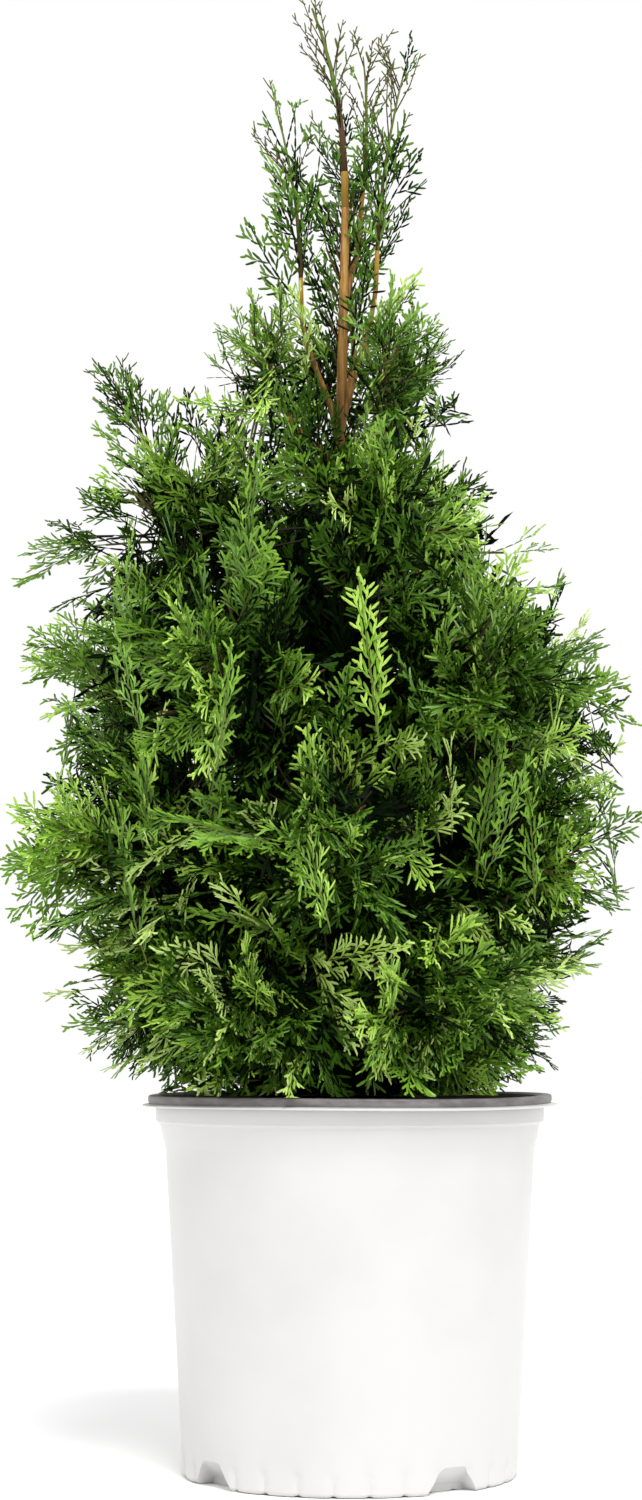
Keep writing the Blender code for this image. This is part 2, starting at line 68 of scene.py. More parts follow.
cameraData = bpy.data.cameras.new("camera")
cameraData.lens = cameraView["lens"]
cameraData.sensor_width = 36
cameraData.shift_y = cameraView["shift"]
cameraData.clip_start = 0.02
camera = bpy.data.objects.new("camera", cameraData)
camera.location = cameraView["eye"]
camera.rotation_euler = (math.pi / 2, 0, 0)
scene.collection.objects.link(camera)
scene.camera = camera


# Shader building: Wire makes sums out of sockets, Finish makes nodes
class Wire:
    def __init__(self, finish, socket):
        self.finish = finish
        self.socket = socket

    def combine(self, operation, first, second):
        return self.finish.node("ShaderNodeMath", {"operation": operation}, {0: first, 1: second})

    def __add__(self, other):
        return self.combine("ADD", self, other)

    def __radd__(self, other):
        return self.combine("ADD", other, self)

    def __sub__(self, other):
        return self.combine("SUBTRACT", self, other)

    def __rsub__(self, other):
        return self.combine("SUBTRACT", other, self)

    def __mul__(self, other):
        return self.combine("MULTIPLY", self, other)

    def __rmul__(self, other):
        return self.combine("MULTIPLY", other, self)


class Finish:
    def __init__(self, name, colour, roughness, **sockets):
        self.material = bpy.data.materials.new(name)
        self.material.use_nodes = True
        self.tree = self.material.node_tree
        self.shader = self.tree.nodes["Principled BSDF"]
        self.feed("Base Color", (*colour, 1))
        self.feed("Roughness", roughness)
        for socket, value in sockets.items():
            self.feed(socket.replace("_", " "), value)

    def feed(self, socket, value):
        self.link(self.shader.inputs[socket], value)

    def link(self, target, value):
        if isinstance(value, Wire):
            self.tree.links.new(value.socket, target)
        else:
            target.default_value = value

    def node(self, kind, settings, inputs, output=0):
        made = self.tree.nodes.new(kind)
        for key, value in settings.items():
            if key == "stops":  # a colour ramp's stops: place and colour
                ramp = made.color_ramp
                while len(ramp.elements) < len(value):
                    ramp.elements.new(0.5)
                for element, (place, colour) in zip(ramp.elements, value):
                    element.position = place
                    element.color = (*colour, 1)
            else:
                setattr(made, key, value)
        for key, value in inputs.items():
            self.link(made.inputs[key], value)
        return Wire(self, made.outputs[output])

    def place(self, stretch=(1, 1, 1)):
        coordinates = self.node("ShaderNodeTexCoord", {}, {}, "Object")
        return self.node("ShaderNodeMapping", {}, {"Vector": coordinates, "Scale": stretch})

    def noise(self, scale, detail=3, stretch=(1, 1, 1), roughness=0.5):
        inputs = {"Vector": self.place(stretch), "Scale": scale, "Detail": detail, "Roughness": roughness}
        return self.node("ShaderNodeTexNoise", {}, inputs)

    def bump(self, height, distance, strength=1.0):
        inputs = {"Height": height, "Distance": distance, "Strength": strength}
        self.feed("Normal", self.node("ShaderNodeBump", {}, inputs))

    def ramp(self, value, stops):
        return self.node("ShaderNodeValToRGB", {"stops": stops}, {"Fac": value})


# Finishes
finishValues = {
    "white": (0.585, 0.579, 0.571),
    "whiteDull": (0.545, 0.537, 0.527),
    "rim": (0.105, 0.092, 0.094),
    "rimWorn": (0.200, 0.181, 0.180),
    # greens as lit and shaded copies of the foliage's own green: leafShade and leafDeep are painted shade
    # for the crown's shaded heart, leafMid and leafFresh the plain greens, and leafBright and leafTip
    # fresher tips with painted light on them
    "greens": {
        "leafShade": (0.0022, 0.0080, 0.0006),
        "leafDeep": (0.0300, 0.0800, 0.0050),
        "leafMid": (0.0950, 0.2100, 0.0150),
        "leafFresh": (0.1850, 0.3600, 0.0280),
        "leafBright": (0.3900, 0.6000, 0.0900),
        "leafTip": (0.5200, 0.6900, 0.2000),
    },
    # olive, brown, the orange of young bark, and the near black of twigs in shade
    "twigs": {
        "twigOlive": (0.110, 0.150, 0.030),
        "twigBrown": (0.085, 0.045, 0.020),
        "twigOrange": (0.340, 0.200, 0.035),
        "twigShade": (0.020, 0.014, 0.008),
    },
}


def whitePlastic():
    finish = Finish("white_plastic", finishValues["white"], 0.36, Specular_IOR_Level=0.45)
    cloud = finish.noise(9, 4)
    stops = [(0.30, finishValues["whiteDull"]), (0.52, finishValues["white"])]
    finish.feed("Base Color", finish.ramp(cloud, stops))
    streaks = finish.noise(60, 3, (1, 1, 0.08))
    finish.feed("Roughness", 0.30 + 0.14 * streaks)
    pebble = finish.noise(1400, 2)
    finish.bump(pebble + 0.6 * streaks, 0.00006)
    return finish.material


def rimPlastic():
    finish = Finish("rim_plastic", finishValues["rim"], 0.42, Specular_IOR_Level=0.5)
    wear = finish.noise(55, 5, (1, 1, 3), 0.65)
    stops = [(0.40, finishValues["rim"]), (0.68, finishValues["rimWorn"])]
    finish.feed("Base Color", finish.ramp(wear, stops))
    finish.feed("Roughness", 0.36 + 0.20 * wear)
    finish.bump(finish.noise(900, 2), 0.00006)
    return finish.material


def barkFinish():
    finish = Finish("bark", (0.32, 0.19, 0.03), 0.82)
    strips = finish.noise(400, 5, (1, 1, 0.10), 0.7)
    patches = finish.noise(42, 3, (1, 1, 0.5))
    coordinates = finish.node("ShaderNodeTexCoord", {}, {}, "Object")
    height = finish.node("ShaderNodeSeparateXYZ", {}, {"Vector": coordinates}, "Z")
    # painted shade: the bark darkens from a height of 0.64 down to 0.54 and stays dark below, where the
    # foliage shades the trunk inside the crown
    paintedTrunkShade = finish.node("ShaderNodeMapRange", {}, {"Value": height, "From Min": 0.64, "From Max": 0.54})
    stops = [
        (0.30, (0.050, 0.024, 0.008)),
        (0.44, (0.210, 0.100, 0.020)),
        (0.56, (0.400, 0.205, 0.042)),
        (0.72, (0.560, 0.360, 0.110)),
    ]
    finish.feed("Base Color", finish.ramp(0.72 * strips + 0.28 * patches - 0.20 * paintedTrunkShade, stops))
    finish.feed("Roughness", 0.66 + 0.3 * strips)
    finish.bump(strips, 0.0006, 0.9)
    return finish.material


def mixFinish():
    finish = Finish("potting_mix", (0.030, 0.018, 0.011), 0.95)
    crumbs = finish.noise(420, 6, (1, 1, 1), 0.75)
    stops = [(0.35, (0.008, 0.005, 0.004)), (0.55, (0.040, 0.024, 0.015)), (0.75, (0.110, 0.066, 0.038))]
    finish.feed("Base Color", finish.ramp(crumbs, stops))
    finish.bump(crumbs, 0.0012)
    return finish.material


whiteMaterial = whitePlastic()
rimMaterial = rimPlastic()
barkMaterial = barkFinish()
mixMaterial = mixFinish()
# the painted-shade greens leafShade and leafDeep also shine less
paintedShadeGreens = ("leafShade", "leafDeep")
leafMaterials = [
    Finish(name, colour, 0.40, Specular_IOR_Level=0.05 if name in paintedShadeGreens else 0.40).material
    for name, colour in finishValues["greens"].items()
]
twigMaterials = [
    Finish(name, colour, 0.70, Specular_IOR_Level=0.15).material
    for name, colour in finishValues["twigs"].items()
]
chipMaterials = [
    Finish("chip_dark", (0.026, 0.014, 0.008), 0.9).material,
    Finish("chip_red", (0.085, 0.036, 0.016), 0.85).material,
    Finish("chip_pale", (0.190, 0.120, 0.065), 0.85).material,
    Finish("perlite", (0.62, 0.60, 0.56), 0.8).material,
]
print("finishes made")


# Meshes from arrays
def arrayMesh(name, vertices, triangles, tones, materials, smooth=False):
    mesh = bpy.data.meshes.new(name)
    mesh.vertices.add(len(vertices))
    mesh.vertices.foreach_set("co", np.asarray(vertices, np.float32).ravel())
    mesh.loops.add(3 * len(triangles))
    mesh.loops.foreach_set("vertex_index", np.asarray(triangles, np.int32).ravel())
    mesh.polygons.add(len(triangles))
    mesh.polygons.foreach_set("loop_start", np.arange(0, 3 * len(triangles), 3, dtype=np.int32))
    mesh.polygons.foreach_set("material_index", np.asarray(tones, np.int32))
    mesh.polygons.foreach_set("use_smooth", np.full(len(triangles), smooth))
    for material in materials:
        mesh.materials.append(material)
    mesh.update(calc_edges=True)
    piece = bpy.data.objects.new(name, mesh)
    scene.collection.objects.link(piece)
    return piece


def finishPiece(piece, slot, *nodes):
    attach(piece, "root")
    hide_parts(*nodes)


class Heap:
    # gathers closed triangle shapes that become one piece
    def __init__(self):
        self.vertices = []
        self.triangles = []
        self.tones = []
        self.count = 0

    def add(self, vertices, triangles, tones):
        self.vertices.append(vertices)
        self.triangles.append(np.asarray(triangles) + self.count)
        self.tones.append(np.broadcast_to(np.asarray(tones), (len(triangles),)))
        self.count += len(vertices)

    def size(self):
        return sum(len(t) for t in self.triangles)

    def take(self, other):
        for vertices, triangles, tones in zip(other.vertices, other.triangles, other.tones):
            self.add(vertices, triangles - triangles.min(), tones)

    def piece(self, name, materials, smooth=False):
        vertices = np.concatenate(self.vertices)
        triangles = np.concatenate(self.triangles)
        return arrayMesh(name, vertices, triangles, np.concatenate(self.tones), materials, smooth)


def tube(points, radii, sides, relief=None, flat=1.0):
    # rings along a path, closed by a point at each end
    points = np.asarray(points, float)
    ahead = np.gradient(points, axis=0)
    ahead /= np.linalg.norm(ahead, axis=1)[:, None]
    guide = np.array((0.0, 0.0, 1.0)) if abs(ahead[0][2]) < 0.9 else np.array((1.0, 0.0, 0.0))
    angles = np.arange(sides) * math.tau / sides
    vertices = []
    for k, (point, along, radius) in enumerate(zip(points, ahead, radii)):
        side = np.cross(guide, along)
        side /= np.linalg.norm(side)
        over = np.cross(along, side)
        guide = over
        reach = radius * (1 + (relief(k, angles) if relief else 0 * angles))
        ring = np.outer(np.cos(angles) * reach, side) + np.outer(np.sin(angles) * reach * flat, over)
        vertices.append(point + ring)
    vertices = np.concatenate(vertices + [points[:1], points[-1:] + ahead[-1] * radii[-1]])
    rings = len(points)
    triangles = []
    for k in range(rings - 1):
        for a in range(sides):
            b = (a + 1) % sides
            low, high = k * sides, (k + 1) * sides
            triangles += [(low + a, low + b, high + b), (low + a, high + b, high + a)]
    first, last = rings * sides, rings * sides + 1
    for a in range(sides):
        b = (a + 1) % sides
        triangles += [(first, b, a), (last, (rings - 1) * sides + a, (rings - 1) * sides + b)]
    return vertices, np.array(triangles)


# Pot: a turned shell with flutes round its foot and four drain channels
pot = {
    "height": 0.2235,
    "flange": 0.1220,
    "rim": 0.1184,
    "neck": 0.1140,
    "shoulder": 0.1084,
    "base": 0.0986,
    "foot": 0.0965,
    "wall": 0.0016,
    "floor": 0.0022,
    "flangeHeight": 0.2170,
    "flangeThickness": 0.0012,
    "neckFoot": 0.2086,
    "shoulderHeight": 0.1920,
    "steps": 240,
    "flutes": 30,
    "fluteHeight": 0.0150,
    "fluteDepth": 0.0012,
    "channels": 4,
    "firstChannel": math.radians(-54),
}


def arc(centre, radius, start, stop, points=5):
    return [
        (centre[0] + radius * math.cos(math.radians(a)), centre[1] + radius * math.sin(math.radians(a)))
        for a in np.linspace(start, stop, points)
    ]


def potOutline():
    p = pot
    skirtFoot = p["flangeHeight"] + p["flangeThickness"]
    half = p["flangeThickness"] / 2
    top, wall = p["height"], p["wall"]
    outline = [(0, top)]
    outline += arc((p["rim"] - 0.0012, top - 0.0012), 0.0012, 90, 0)
    outline += [(p["rim"] + 0.0001, top - 0.0030), (p["rim"] - 0.0003, skirtFoot + 0.0005)]
    outline += arc((p["flange"] - half, skirtFoot - half), half, 90, -90, 7)
    outline += [(p["rim"] - wall, p["flangeHeight"]), (p["rim"] - wall, top - wall)]
    outline += [(p["neck"], top - wall), (p["neck"], p["neckFoot"] + 0.0008)]
    outline += arc((p["neck"] - 0.0012, p["neckFoot"]), 0.0012, 30, -70, 4)
    outline += [(p["neck"] - 0.0022, p["neckFoot"] - 0.0022)]
    outline += [(p["shoulder"] + 0.0006, p["shoulderHeight"] + 0.0020), (p["shoulder"], p["shoulderHeight"])]
    for k in range(1, 12):
        share = k / 12
        height = p["shoulderHeight"] + (p["fluteHeight"] - p["shoulderHeight"]) * share
        outline.append((p["shoulder"] + (p["base"] + 0.0004 - p["shoulder"]) * share, height))
    for height in (0.0150, 0.0135, 0.0110, 0.0080, 0.0050):
        outline.append((p["base"] + 0.0004 * height / 0.015, height))
    outline += arc((p["foot"] - 0.0004, 0.0026), 0.0026, 10, -80, 5)
    outline += [(p["foot"] - 0.0010, 0), (0, 0)]
    return outline


def potHollowOutline():
    p = pot
    wall = p["wall"]
    return [
        (0, p["height"] + 0.010),
        (p["neck"] - wall + 0.0012, p["height"] + 0.010),
        (p["neck"] - wall + 0.0012, p["height"] + 0.0001),
        (p["neck"] - wall, p["height"] - 0.0012),
        (p["neck"] - wall, p["neckFoot"] - 0.0005),
        (p["neck"] - 0.0022 - wall, p["neckFoot"] - 0.0026),
        (p["shoulder"] - wall, p["shoulderHeight"]),
        (p["base"] - wall, 0.0046),
        (p["foot"] - wall - 0.0010, p["floor"]),
        (0, p["floor"]),
    ]


def turned(name, outline, steps, wave=None):
    # a solid of revolution whose outline starts and ends on the axis
    form = bmesh.new()
    rings = []
    for radius, height in outline:
        if radius == 0:
            rings.append([form.verts.new((0, 0, height))] * steps)
            continue
        ring = []
        for k in range(steps):
            angle = k * math.tau / steps
            r, z = wave(radius, height, angle) if wave else (radius, height)
            ring.append(form.verts.new((r * math.cos(angle), r * math.sin(angle), z)))
        rings.append(ring)
    for high, low in zip(rings, rings[1:]):
        for a in range(steps):
            b = (a + 1) % steps
            corners = [high[a], low[a], low[b], high[b]]
            face = [v for i, v in enumerate(corners) if v not in corners[:i]]
            form.faces.new(face)
    form.normal_update()
    bmesh.ops.recalc_face_normals(form, faces=form.faces)
    mesh = bpy.data.meshes.new(name)
    form.to_mesh(mesh)
    form.free()
    made = bpy.data.objects.new(name, mesh)
    scene.collection.objects.link(made)
    return made


def potWave(radius, height, angle):
    p = pot
    if height < p["fluteHeight"] and radius > p["foot"] * 0.9:
        rise = min(1, (p["fluteHeight"] - height) / 0.003)
        groove = max(0, 1 - abs(math.sin(angle * p["flutes"] / 2)) * 2.2)
        radius -= p["fluteDepth"] * groove * rise
        if height < 0.0012:
            height += 0.0008 * groove
    if height > p["shoulderHeight"] * 0.5:
        lift = (height - p["shoulderHeight"] * 0.5) / p["height"]
        radius += 0.0005 * lift * math.sin(2 * angle + 0.6)  # a thin pot is never quite round
    if height > p["flangeHeight"] - 0.001:
        height += 0.00035 * math.sin(3 * angle + 1.1) - 0.00025 * (1 + math.sin(angle))
    return radius, height


def channelBlock(name, number, grow):
    # a chute under an arched notch: its ceiling falls inward to a slot
    form = bmesh.new()
    for width, reach, height in (
        (0.0040, 0.1100, 0.0249 + grow * 1.3),
        (0.0300, 0.0860 - grow, 0.0040 + grow * 1.3),
        (0.0440, 0.1100, -0.0040),
        (0.0360, 0.0860 - grow, -0.0040),
    ):
        for side in (1, -1):
            form.verts.new((side * (width / 2 + grow * 1.2), -reach, height))
    bmesh.ops.convex_hull(form, input=form.verts)
    edges = [e for e in form.edges if all(v.co.z > 0 for v in e.verts)]
    if not grow:
        bmesh.ops.bevel(form, geom=edges, offset=0.0016, segments=3, profile=0.5, affect="EDGES")
    azimuth = pot["firstChannel"] + number * math.tau / pot["channels"]
    turn = np.array(((math.cos(azimuth), -math.sin(azimuth)), (math.sin(azimuth), math.cos(azimuth))))
    for vertex in form.verts:
        vertex.co.x, vertex.co.y = turn @ np.array(vertex.co[:2])
    mesh = bpy.data.meshes.new(name)
    form.to_mesh(mesh)
    form.free()
    block = bpy.data.objects.new(name, mesh)
    scene.collection.objects.link(block)
    return block


def carve(target, tools):
    for number, tool in enumerate(tools):
        cutter = target.modifiers.new(f"cut {number}", "BOOLEAN")
        cutter.operation = "DIFFERENCE"
        cutter.solver = "EXACT"
        cutter.object = tool
    bpy.context.view_layer.update()
    graph = bpy.context.evaluated_depsgraph_get()
    mesh = bpy.data.meshes.new_from_object(target.evaluated_get(graph))
    target.modifiers.clear()
    target.data = mesh
    for tool in tools:
        bpy.data.objects.remove(tool)


def makePot():
    shell = turned("nursery_pot", potOutline(), pot["steps"], potWave)
    hollow = turned("hollow", potHollowOutline(), pot["steps"])
    carve(hollow, [channelBlock(f"jacket {n}", n, pot["wall"]) for n in range(pot["channels"])])
    carve(shell, [channelBlock(f"channel {n}", n, 0) for n in range(pot["channels"])] + [hollow])
    mesh = shell.data
    mesh.materials.clear()
    for material in (whiteMaterial, rimMaterial):
        mesh.materials.append(material)
    skirtFoot = pot["flangeHeight"] + pot["flangeThickness"]
    for face in mesh.polygons:
        x, y, z = face.center
        radius = math.hypot(x, y)
        outward = (x * face.normal.x + y * face.normal.y) / max(radius, 0.001)
        rolled = z > skirtFoot - 0.0002 and radius < pot["rim"] + 0.0006
        inner = outward < -0.3 and z > 0.02 or radius < pot["neck"] - 0.001 and face.normal.z > 0.6
        face.material_index = 1 if rolled or inner else 0
        face.use_smooth = True
    mesh.set_sharp_from_angle(angle=math.radians(34))
    finishPiece(shell, "pot_plastic", "pot")


makePot()
print("pot made")


# Potting mix: a rough top with bark chips and grit, seen between the lowest sprays
mix = {
    "centre": 0.2110,
    "edge": 0.2040,
    "radius": 0.1066,
    "rough": 0.0022,
    "chips": 420,
    "seed": 5,
}


def mixHeight(x, y):
    share = math.hypot(x, y) / mix["radius"]
    base = mix["centre"] + (mix["edge"] - mix["centre"]) * share**2
    lumps = noise.noise(Vector((x * 70, y * 70, 0))) + 0.5 * noise.noise(Vector((x * 190, y * 190, 3)))
    return base - 0.0012 + mix["rough"] * lumps * min(1, 12 * (1 - share))


def makeMix():
    steps, rings = 96, 34
    vertices, triangles = [(0, 0, mix["centre"] - 0.001)], []
    for k in range(1, rings + 1):
        for a in range(steps):
            angle = a * math.tau / steps
            r = mix["radius"] * k / rings
            x, y = r * math.cos(angle), r * math.sin(angle)
            vertices.append((x, y, mixHeight(x, y)))
    shoulder = (pot["shoulder"] - 0.0022, pot["shoulderHeight"])
    low = [shoulder, (pot["base"] - 0.0022, 0.0055), (0.0935, 0.0026)]
    for r, z in low:
        for a in range(steps):
            angle = a * math.tau / steps
            inward = 0
            if z < 0.02:  # the mix stands clear of the drain channels
                for n in range(pot["channels"]):
                    turn = angle + math.pi / 2 - pot["firstChannel"] - n * math.tau / pot["channels"]
                    if abs((turn + math.pi) % math.tau - math.pi) < 0.30:
                        inward = 0.016
            vertices.append(((r - inward) * math.cos(angle), (r - inward) * math.sin(angle), z))
    vertices.append((0, 0, 0.0026))
    for a in range(steps):
        triangles.append((0, 1 + a, 1 + (a + 1) % steps))
    total = rings + len(low)
    for k in range(total - 1):
        for a in range(steps):
            b = (a + 1) % steps
            i, j = 1 + k * steps, 1 + (k + 1) * steps
            triangles += [(i + a, j + a, j + b), (i + a, j + b, i + b)]
    last = 1 + (total - 1) * steps
    for a in range(steps):
        triangles.append((len(vertices) - 1, last + (a + 1) % steps, last + a))
    piece = arrayMesh("potting_mix_bed", vertices, triangles, np.zeros(len(triangles)), [mixMaterial], True)
    finishPiece(piece, "potting_mix", "potting_mix")


def makeChips():
    rng = random.Random(mix["seed"])
    heap = Heap()
    corners = np.array([(x, y, z) for z in (-1, 1) for y in (-1, 1) for x in (-1, 1)], float)
    sides = [(0, 2, 3, 1), (4, 5, 7, 6), (0, 1, 5, 4), (2, 6, 7, 3), (0, 4, 6, 2), (1, 3, 7, 5)]
    faces = [t for a, b, c, d in sides for t in ((a, b, c), (a, c, d))]
    for _ in range(mix["chips"]):
        r = mix["radius"] * 0.96 * math.sqrt(rng.random())
        angle = rng.uniform(0, math.tau)
        x, y = r * math.cos(angle), r * math.sin(angle)
        if r < 0.014:
            continue
        grit = rng.random() < 0.12
        size = (0.0012, 0.0011, 0.0010)
        if not grit:
            size = (rng.uniform(2, 6) * mm, rng.uniform(1, 2.2) * mm, 0.6 * mm)
        shape = corners * size * np.array([[rng.uniform(0.7, 1.1)] for _ in range(8)])
        turn = rng.uniform(0, math.tau)
        tilt = rng.uniform(-0.4, 0.4)
        c, s = math.cos(turn), math.sin(turn)
        spin = np.array(((c, -s, 0), (s, c, 0), (0, 0, 1)))
        c, s = math.cos(tilt), math.sin(tilt)
        lean = np.array(((c, 0, s), (0, 1, 0), (-s, 0, c)))
        spot = np.array((x, y, mixHeight(x, y) + 0.0004))
        heap.add(shape @ lean.T @ spin.T + spot, faces, 3 if grit else rng.choice((0, 0, 1, 1, 2)))
    piece = heap.piece("bark_chips", chipMaterials)
    finishPiece(piece, "potting_mix", "potting_mix")


makeMix()
makeChips()
print("potting mix made")


# Crown rule: where the limbs, masses and fronds of the solids lie, worked out again from the same sizes
crown = {
    "trunkFoot": 0.2113,
    "trunkFork": 0.7450,
    "trunkRadius": 0.0075,
    "forkRadius": 0.0024,
    "flare": 0.0050,
    "flareHeight": 0.0120,
    "bow": -0.0050,
    "lean": -0.0024,
    "wave": 0.0030,
    # height, reach to the left of the pot's centre, reach to its right
    "outline": np.array((
        (0.226, 0.124, 0.118),
        (0.262, 0.178, 0.132),
        (0.310, 0.194, 0.158),
        (0.380, 0.210, 0.176),
        (0.400, 0.206, 0.188),
        (0.460, 0.196, 0.172),
        (0.520, 0.212, 0.146),
        (0.560, 0.180, 0.106),
        (0.600, 0.134, 0.074),
        (0.640, 0.092, 0.066),
        (0.670, 0.078, 0.058),
        (0.700, 0.058, 0.046),
        (0.800, 0.050, 0.041),
        (0.868, 0.036, 0.024),
    )),
    "floor": 0.2262,
    "viewFoot": 0.610,
    "viewHalfWidth": 0.010,
    # name, masses, first azimuth, height, share of the reach, rise of the stems, fronds
    "tiers": (
        ("skirt", 5, 162, 0.268, 0.54, -14, 9),
        ("low", 5, 198, 0.360, 0.55, 4, 9),
        ("middle", 5, 162, 0.454, 0.55, 20, 9),
        ("upper", 4, 195, 0.546, 0.54, 36, 9),
        ("shoulder", 4, 200, 0.634, 0.56, 60, 9),
    ),
    # name, stem start, stem end, drop of its limb, fronds, longest frond
    "plumes": (
        ("wing", (-0.1020, 0.0420, 0.5780), (-0.1420, 0.0500, 0.6520), 0.050, 9, 0.056),
        ("spire_left", (-0.0285, -0.0120, 0.6800), (-0.0440, -0.0120, 0.8050), 0.058, 11, 0.046),
        ("spire_back", (0.0020, 0.0260, 0.6750), (-0.0040, 0.0330, 0.7980), 0.050, 11, 0.048),
        ("spire_right", (0.0150, -0.0090, 0.6950), (0.0330, -0.0090, 0.8300), 0.070, 11, 0.046),
        ("fork_right", (0.0060, 0.0060, 0.7400), (0.0080, 0.0060, 0.8400), 0.045, 8, 0.040),
        ("tip", (-0.0027, 0.0000, 0.7456), (-0.0230, 0.0000, 0.8675), 0.000, 10, 0.042),
    ),
    "cellGap": 0.0009,
    "longestFrond": 0.118,
    "shortestFrond": 0.034,
    "frondShare": 0.54,
    "boughBase": 0.0032,
    "boughTip": 0.0022,
    "collar": 0.0035,
    "golden": math.radians(137.5),
    "seed": 21,
}
frondOutline = ((0.40, 0.50), (0.46, 0.20), (0.76, 0.36), (1.0, 0.0))


def unit(vector):
    vector = np.asarray(vector, float)
    return vector / np.linalg.norm(vector)


def turnAbout(vector, axis, angle):
    # turns a vector about a unit axis
    cosine, sine = math.cos(angle), math.sin(angle)
    return vector * cosine + np.cross(axis, vector) * sine + axis * np.dot(axis, vector) * (1 - cosine)


def anySide(vector):
    return np.array(Vector(vector).orthogonal().normalized())


def trunkShare(height):
    return np.clip((height - crown["trunkFoot"]) / (crown["trunkFork"] - crown["trunkFoot"]), 0, 1)


def trunkCentre(height):
    share = trunkShare(height)
    x = crown["bow"] * np.sin(math.pi * share) + crown["lean"] * share
    return np.array((x, crown["wave"] * np.sin(math.tau * share), height))


def trunkRadius(height):
    swelling = crown["trunkRadius"] - crown["forkRadius"]
    taper = crown["forkRadius"] + swelling * (1 - trunkShare(height)) ** 1.2
    return taper + crown["flare"] * np.exp(-(height - crown["trunkFoot"]) / crown["flareHeight"])


def crownReach(height, azimuth):
    heights, lefts, rights = crown["outline"].T
    left, right = np.interp(height, heights, lefts), np.interp(height, heights, rights)
    return (left + right) / 2 + (right - left) / 2 * np.cos(azimuth)


def planMasses():
    masses = []
    for tier, (name, count, first, height, share, rise, fronds) in enumerate(crown["tiers"]):
        rng = random.Random(crown["seed"] + tier)
        for number in range(count):
            azimuth = math.radians(first + number * 360 / count + rng.uniform(-6, 6) * (number > 0))
            middle = height + rng.uniform(-0.008, 0.008)
            outward = np.array((math.cos(azimuth), math.sin(azimuth), 0))
            reach = crownReach(middle, azimuth)
            centre = outward * reach * share + (0, 0, middle)
            slope = math.radians(rise)
            heading = outward * math.cos(slope) + np.array((0, 0, math.sin(slope)))
            masses.append({
                "name": f"{name}_{number + 1}",
                "tier": name,
                "centre": centre,
                "outward": outward,
                "heading": heading,
                "root": centre - heading * reach * 0.24,
                "drop": 0.020,
                "fronds": fronds,
                "dense": True,
                "seed": crown["seed"] + 100 * tier + number,
            })
    for number, (name, root, tip, drop, fronds, longest) in enumerate(crown["plumes"]):
        root, tip = np.array(root), np.array(tip)
        masses.append({
            "name": name,
            "tier": "plumes",
            "centre": (root + tip) / 2,
            "outward": unit((root[0], root[1], 0)),
            "heading": unit(tip - root),
            "root": root,
            "tip": tip,
            "drop": drop,
            "fronds": fronds,
            "longest": longest,
            "dense": False,
            "seed": crown["seed"] + 1000 + number,
        })
    return masses


masses = planMasses()
centres = np.array([mass["centre"] for mass in masses])
apart = np.linalg.norm(centres[:, None] - centres[None], axis=2)


def inCell(mass, points, margin):
    # nearer this mass's middle than any other's, in front of its limb and clear of the trunk
    own = next(i for i, other in enumerate(masses) if other is mass)
    squares = ((points[:, None] - centres[None]) ** 2).sum(2)
    gaps = (squares - squares[:, own:own + 1]) / (2 * np.maximum(apart[own], 1e-6))
    gaps[:, own] = 1
    inside = (gaps > margin).all(1) & (points[:, 2] > crown["floor"] + min(margin, 0) * 0.2)
    inside &= (points - mass["root"]) @ mass["heading"] > margin
    trunk = trunkCentre(points[:, 2])
    fromTrunk = points - trunk.T
    inView = (points[:, 2] > crown["viewFoot"]) & (points[:, 1] < 0)
    inView &= np.abs(fromTrunk[:, 0]) < crown["viewHalfWidth"]
    if mass["drop"]:
        inside &= ~inView
    clearance = trunkRadius(points[:, 2]) + 4 * max(margin, 0)
    return inside & ((points[:, 2] > crown["trunkFork"]) | (fromTrunk @ mass["outward"] > clearance))


def inCrown(points, share=1.0):
    azimuth = np.arctan2(points[:, 1], points[:, 0])
    reach = crownReach(np.clip(points[:, 2], 0.226, 0.868), azimuth)
    return (np.hypot(points[:, 0], points[:, 1]) < reach * share) & (points[:, 2] < 0.868)


def clearRun(mass, start, direction, share=1.0, margin=None):
    margin = crown["cellGap"] if margin is None else margin
    steps = np.arange(1, 101) * 0.002
    points = start + direction * steps[:, None]
    inside = inCell(mass, points, margin)
    if mass["dense"]:
        inside &= inCrown(points, share)
    blocked = np.flatnonzero(~inside)
    return 0.002 * (blocked[0] if len(blocked) else 100)


def boughCourse(mass):
    end = mass["root"] - mass["heading"] * 0.0003
    leaving = max(end[2] - mass["drop"], crown["trunkFoot"] + 0.012)
    base = trunkCentre(leaving)
    outward = unit((end[0] - base[0], end[1] - base[1], 0))
    start = base + outward * (trunkRadius(leaving) + 0.0006)
    collar = start + outward * crown["collar"]
    socket = end - mass["heading"] * crown["collar"]
    span = np.linalg.norm(socket - collar)
    handles = (collar, collar + outward * span * 0.35, socket - mass["heading"] * span * 0.40, socket)
    return start, handles, end


def bezier(handles, t):
    a, b, c, d = handles
    return a * (1 - t) ** 3 + b * 3 * t * (1 - t) ** 2 + c * 3 * t * t * (1 - t) + d * t**3


def boughRadius(share):
    return crown["boughBase"] + (crown["boughTip"] - crown["boughBase"]) * share


def limbSpots():
    spots = []
    for height in np.linspace(crown["trunkFoot"], crown["trunkFork"], 180):
        spots.append((*trunkCentre(height), trunkRadius(height)))
    for mass in masses:
        if mass["drop"]:
            start, handles, end = boughCourse(mass)
            slim = 1 if mass["dense"] else 0.62
            path = [start] + [bezier(handles, t) for t in np.linspace(0, 1, 16)] + [end]
            for k, point in enumerate(path):
                share = k / (len(path) - 1)
                spots.append((*point, slim * boughRadius(share)))
    return np.array(spots)


spots = limbSpots()


def bladeFits(mass, root, along, across, length, width, thickness):
    normal = np.cross(along, across)
    corners = np.array([
        root + along * u * length + across * v * s * width for u, v in frondOutline for s in (1, -1)
    ])
    if not inCell(mass, corners, crown["cellGap"]).all():
        return False
    local = spots[:, :3] - root
    room = spots[:, 3] + thickness
    beside = (local @ along > -room) & (local @ along < length + room)
    beside &= (np.abs(local @ across) < width / 2 + room) & (np.abs(local @ normal) < room)
    return not beside.any()


